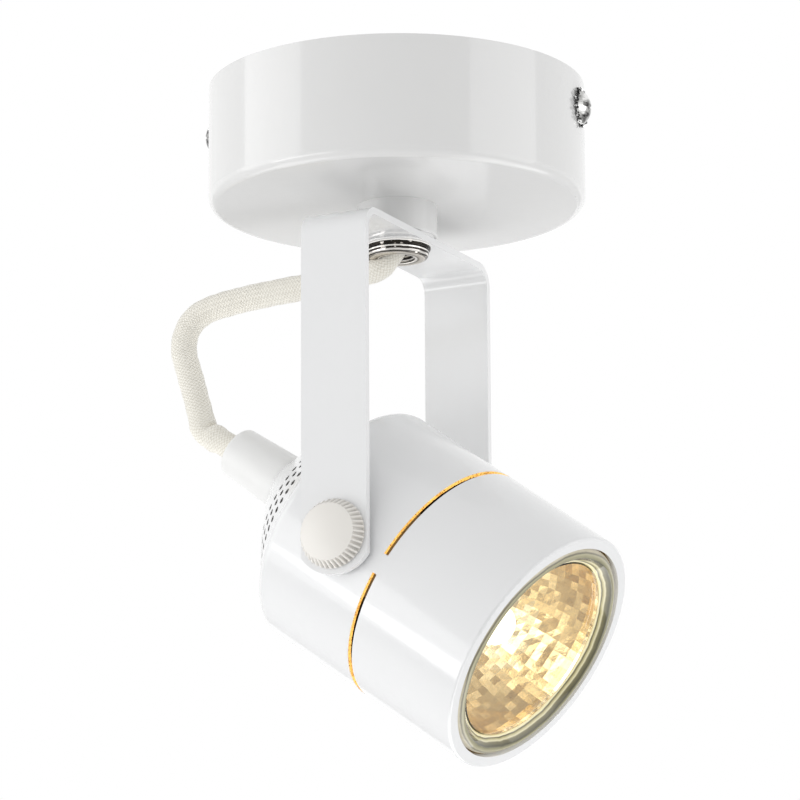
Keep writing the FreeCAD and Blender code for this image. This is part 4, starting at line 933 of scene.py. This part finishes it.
class SPOTLIGHT_OT_washers(bpy.types.Operator):
    """Twists the toothed washers under the heads of the side screws"""

    bl_idname = "spotlight.washers"
    bl_label = "Toothed washers"

    def execute(self, context):
        material = star_plate()
        for name, turn in (("right", 0), ("left", 180)):
            ring = turned(f"star_washer_{name}", [(2.2, -0.25), (3.15, -0.25), (3.15, 0.25),
                                                  (2.2, 0.25), (2.2, -0.25)], 56)
            clear_selection()
            bpy.ops.mesh.primitive_cube_add(size=MM)
            tooth = context.object
            tooth.scale = (1.5, 1.0, 0.5)
            tooth.rotation_euler = (math.radians(46), 0, 0)
            tooth.location = (3.65 * MM, 0, 0)
            bpy.ops.object.transform_apply()
            bpy.ops.object.mode_set(mode="EDIT")
            bpy.ops.mesh.select_all(action="SELECT")
            bpy.ops.mesh.bevel(offset=0.06 * MM, segments=1)
            bpy.ops.mesh.select_all(action="SELECT")
            bpy.ops.mesh.spin(steps=STAR_TEETH - 1, dupli=True, axis=(0, 0, 1), center=(0, 0, 0),
                              angle=math.tau * (STAR_TEETH - 1) / STAR_TEETH)
            bpy.ops.object.mode_set(mode="OBJECT")
            ring.select_set(True)
            context.view_layer.objects.active = ring
            bpy.ops.object.join()
            place = Matrix.Rotation(math.radians(turn), 4, "Z") @ Matrix.Translation(STAR_SEAT)
            settle(ring, place @ Matrix.Rotation(math.radians(90), 4, "Y"), "canopy",
                   material)
            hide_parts("canopy_star_washers")
        return {"FINISHED"}


class SPOTLIGHT_OT_stage(bpy.types.Operator):
    """Sets the floor, the surround, the lights and the camera"""

    bl_idname = "spotlight.stage"
    bl_label = "Stage"

    def execute(self, context):
        studio = context.scene.spotlight_studio
        clear_selection()
        bpy.ops.mesh.primitive_plane_add(size=6.0, location=(0, 0, -0.62))
        floor = context.object
        floor.name = "studio_floor"
        paint = Paint("pale_floor", Base_Color=(0.85, 0.85, 0.85, 1), Roughness=0.9)
        spot = paint.place()
        paint.drive("Roughness", paint.noise(spot, 0.02) * 0.1 + 0.85)
        floor.data.materials.append(paint.material)

        world = bpy.data.worlds.new("studio")
        context.scene.world = world
        world.use_nodes = True
        tree = world.node_tree
        ground = next(n for n in tree.nodes if n.type == "BACKGROUND")
        path = tree.nodes.new("ShaderNodeLightPath")
        seen = path.outputs["Is Camera Ray"]
        for name in ("Is Glossy Ray", "Is Transmission Ray"):
            either = tree.nodes.new("ShaderNodeMath")
            either.operation = "MAXIMUM"
            tree.links.new(seen, either.inputs[0])
            tree.links.new(path.outputs[name], either.inputs[1])
            seen = either.outputs[0]
        level = tree.nodes.new("ShaderNodeMapRange")
        level.inputs["To Min"].default_value = studio.ambient
        level.inputs["To Max"].default_value = 1.0
        tree.links.new(seen, level.inputs["Value"])
        tree.links.new(level.outputs[0], ground.inputs["Strength"])
        ground.inputs["Color"].default_value = (1, 1, 1, 1)

        for name, power, place, size in (
            ("left_light", studio.left, (-1.0, -0.45, -0.05), 0.9),
            ("low_light", studio.low, (-0.7, -0.7, -0.75), 0.9),
            ("right_light", studio.right, (1.0, -0.1, -0.1), 0.9),
            ("under_light", studio.under, (0.0, 0.1, -0.6), 0.9),
        ):
            bpy.ops.object.light_add(type="AREA", location=place)
            lamp = context.object
            lamp.name = name
            lamp.data.energy = power
            lamp.data.size = size
            aim = Vector((0, 0, -0.08)) - Vector(place)
            lamp.rotation_euler = aim.to_track_quat("-Z", "Y").to_euler()

        turn, rise, roll = math.radians(15.83), math.radians(-13.454), math.radians(-0.313)
        back = Vector((math.sin(turn) * math.cos(rise), -math.cos(turn) * math.cos(rise), math.sin(rise)))
        right = Vector((math.cos(turn), math.sin(turn), 0))
        up = back.cross(right)
        across = math.cos(roll) * right + math.sin(roll) * up
        upward = math.cos(roll) * up - math.sin(roll) * right
        bpy.ops.object.camera_add()
        camera = context.object
        place = Vector((0, 0, -69.867 * MM)) + across * 1.042 * MM + back * 1.05
        camera.matrix_world = Matrix.Translation(place) @ Matrix(
            (across, upward, back)).transposed().to_4x4()
        camera.data.lens = studio.lens
        camera.data.sensor_width = 36.0
        camera.data.shift_x = -2.967 / 800
        camera.data.shift_y = 1.364 / 800
        camera.data.clip_start = 0.01
        context.scene.camera = camera
        context.scene.view_settings.view_transform = "Standard"
        return {"FINISHED"}


OPERATORS = (SPOTLIGHT_OT_finishes, SPOTLIGHT_OT_knobs, SPOTLIGHT_OT_lead, SPOTLIGHT_OT_lamp,
             SPOTLIGHT_OT_washers, SPOTLIGHT_OT_stage)


class SPOTLIGHT_PT_panel(bpy.types.Panel):
    """Lists the spotlight's pieces and their settings"""

    bl_idname = "SPOTLIGHT_PT_panel"
    bl_label = "Ceiling spotlight"
    bl_space_type = "VIEW_3D"
    bl_region_type = "UI"
    bl_category = "Spotlight"

    def draw(self, context):
        for operator in OPERATORS:
            self.layout.operator(operator.bl_idname)
        for group in (context.scene.spotlight_looks, context.scene.spotlight_studio):
            for name in group.bl_rna.properties.keys():
                if name not in ("rna_type", "name"):
                    self.layout.prop(group, name)


CLASSES = (SpotlightLooks, SpotlightStudio, *OPERATORS, SPOTLIGHT_PT_panel)


def register():
    for item in CLASSES:
        bpy.utils.register_class(item)
    bpy.types.Scene.spotlight_looks = PointerProperty(type=SpotlightLooks)
    bpy.types.Scene.spotlight_studio = PointerProperty(type=SpotlightStudio)


def unregister():
    del bpy.types.Scene.spotlight_studio
    del bpy.types.Scene.spotlight_looks
    for item in reversed(CLASSES):
        bpy.utils.unregister_class(item)


def main():
    register()
    bpy.ops.spotlight.finishes()
    bpy.ops.spotlight.knobs()
    bpy.ops.spotlight.lead()
    bpy.ops.spotlight.lamp()
    bpy.ops.spotlight.washers()
    bpy.ops.spotlight.stage()


if __name__ == "__main__":
    main()
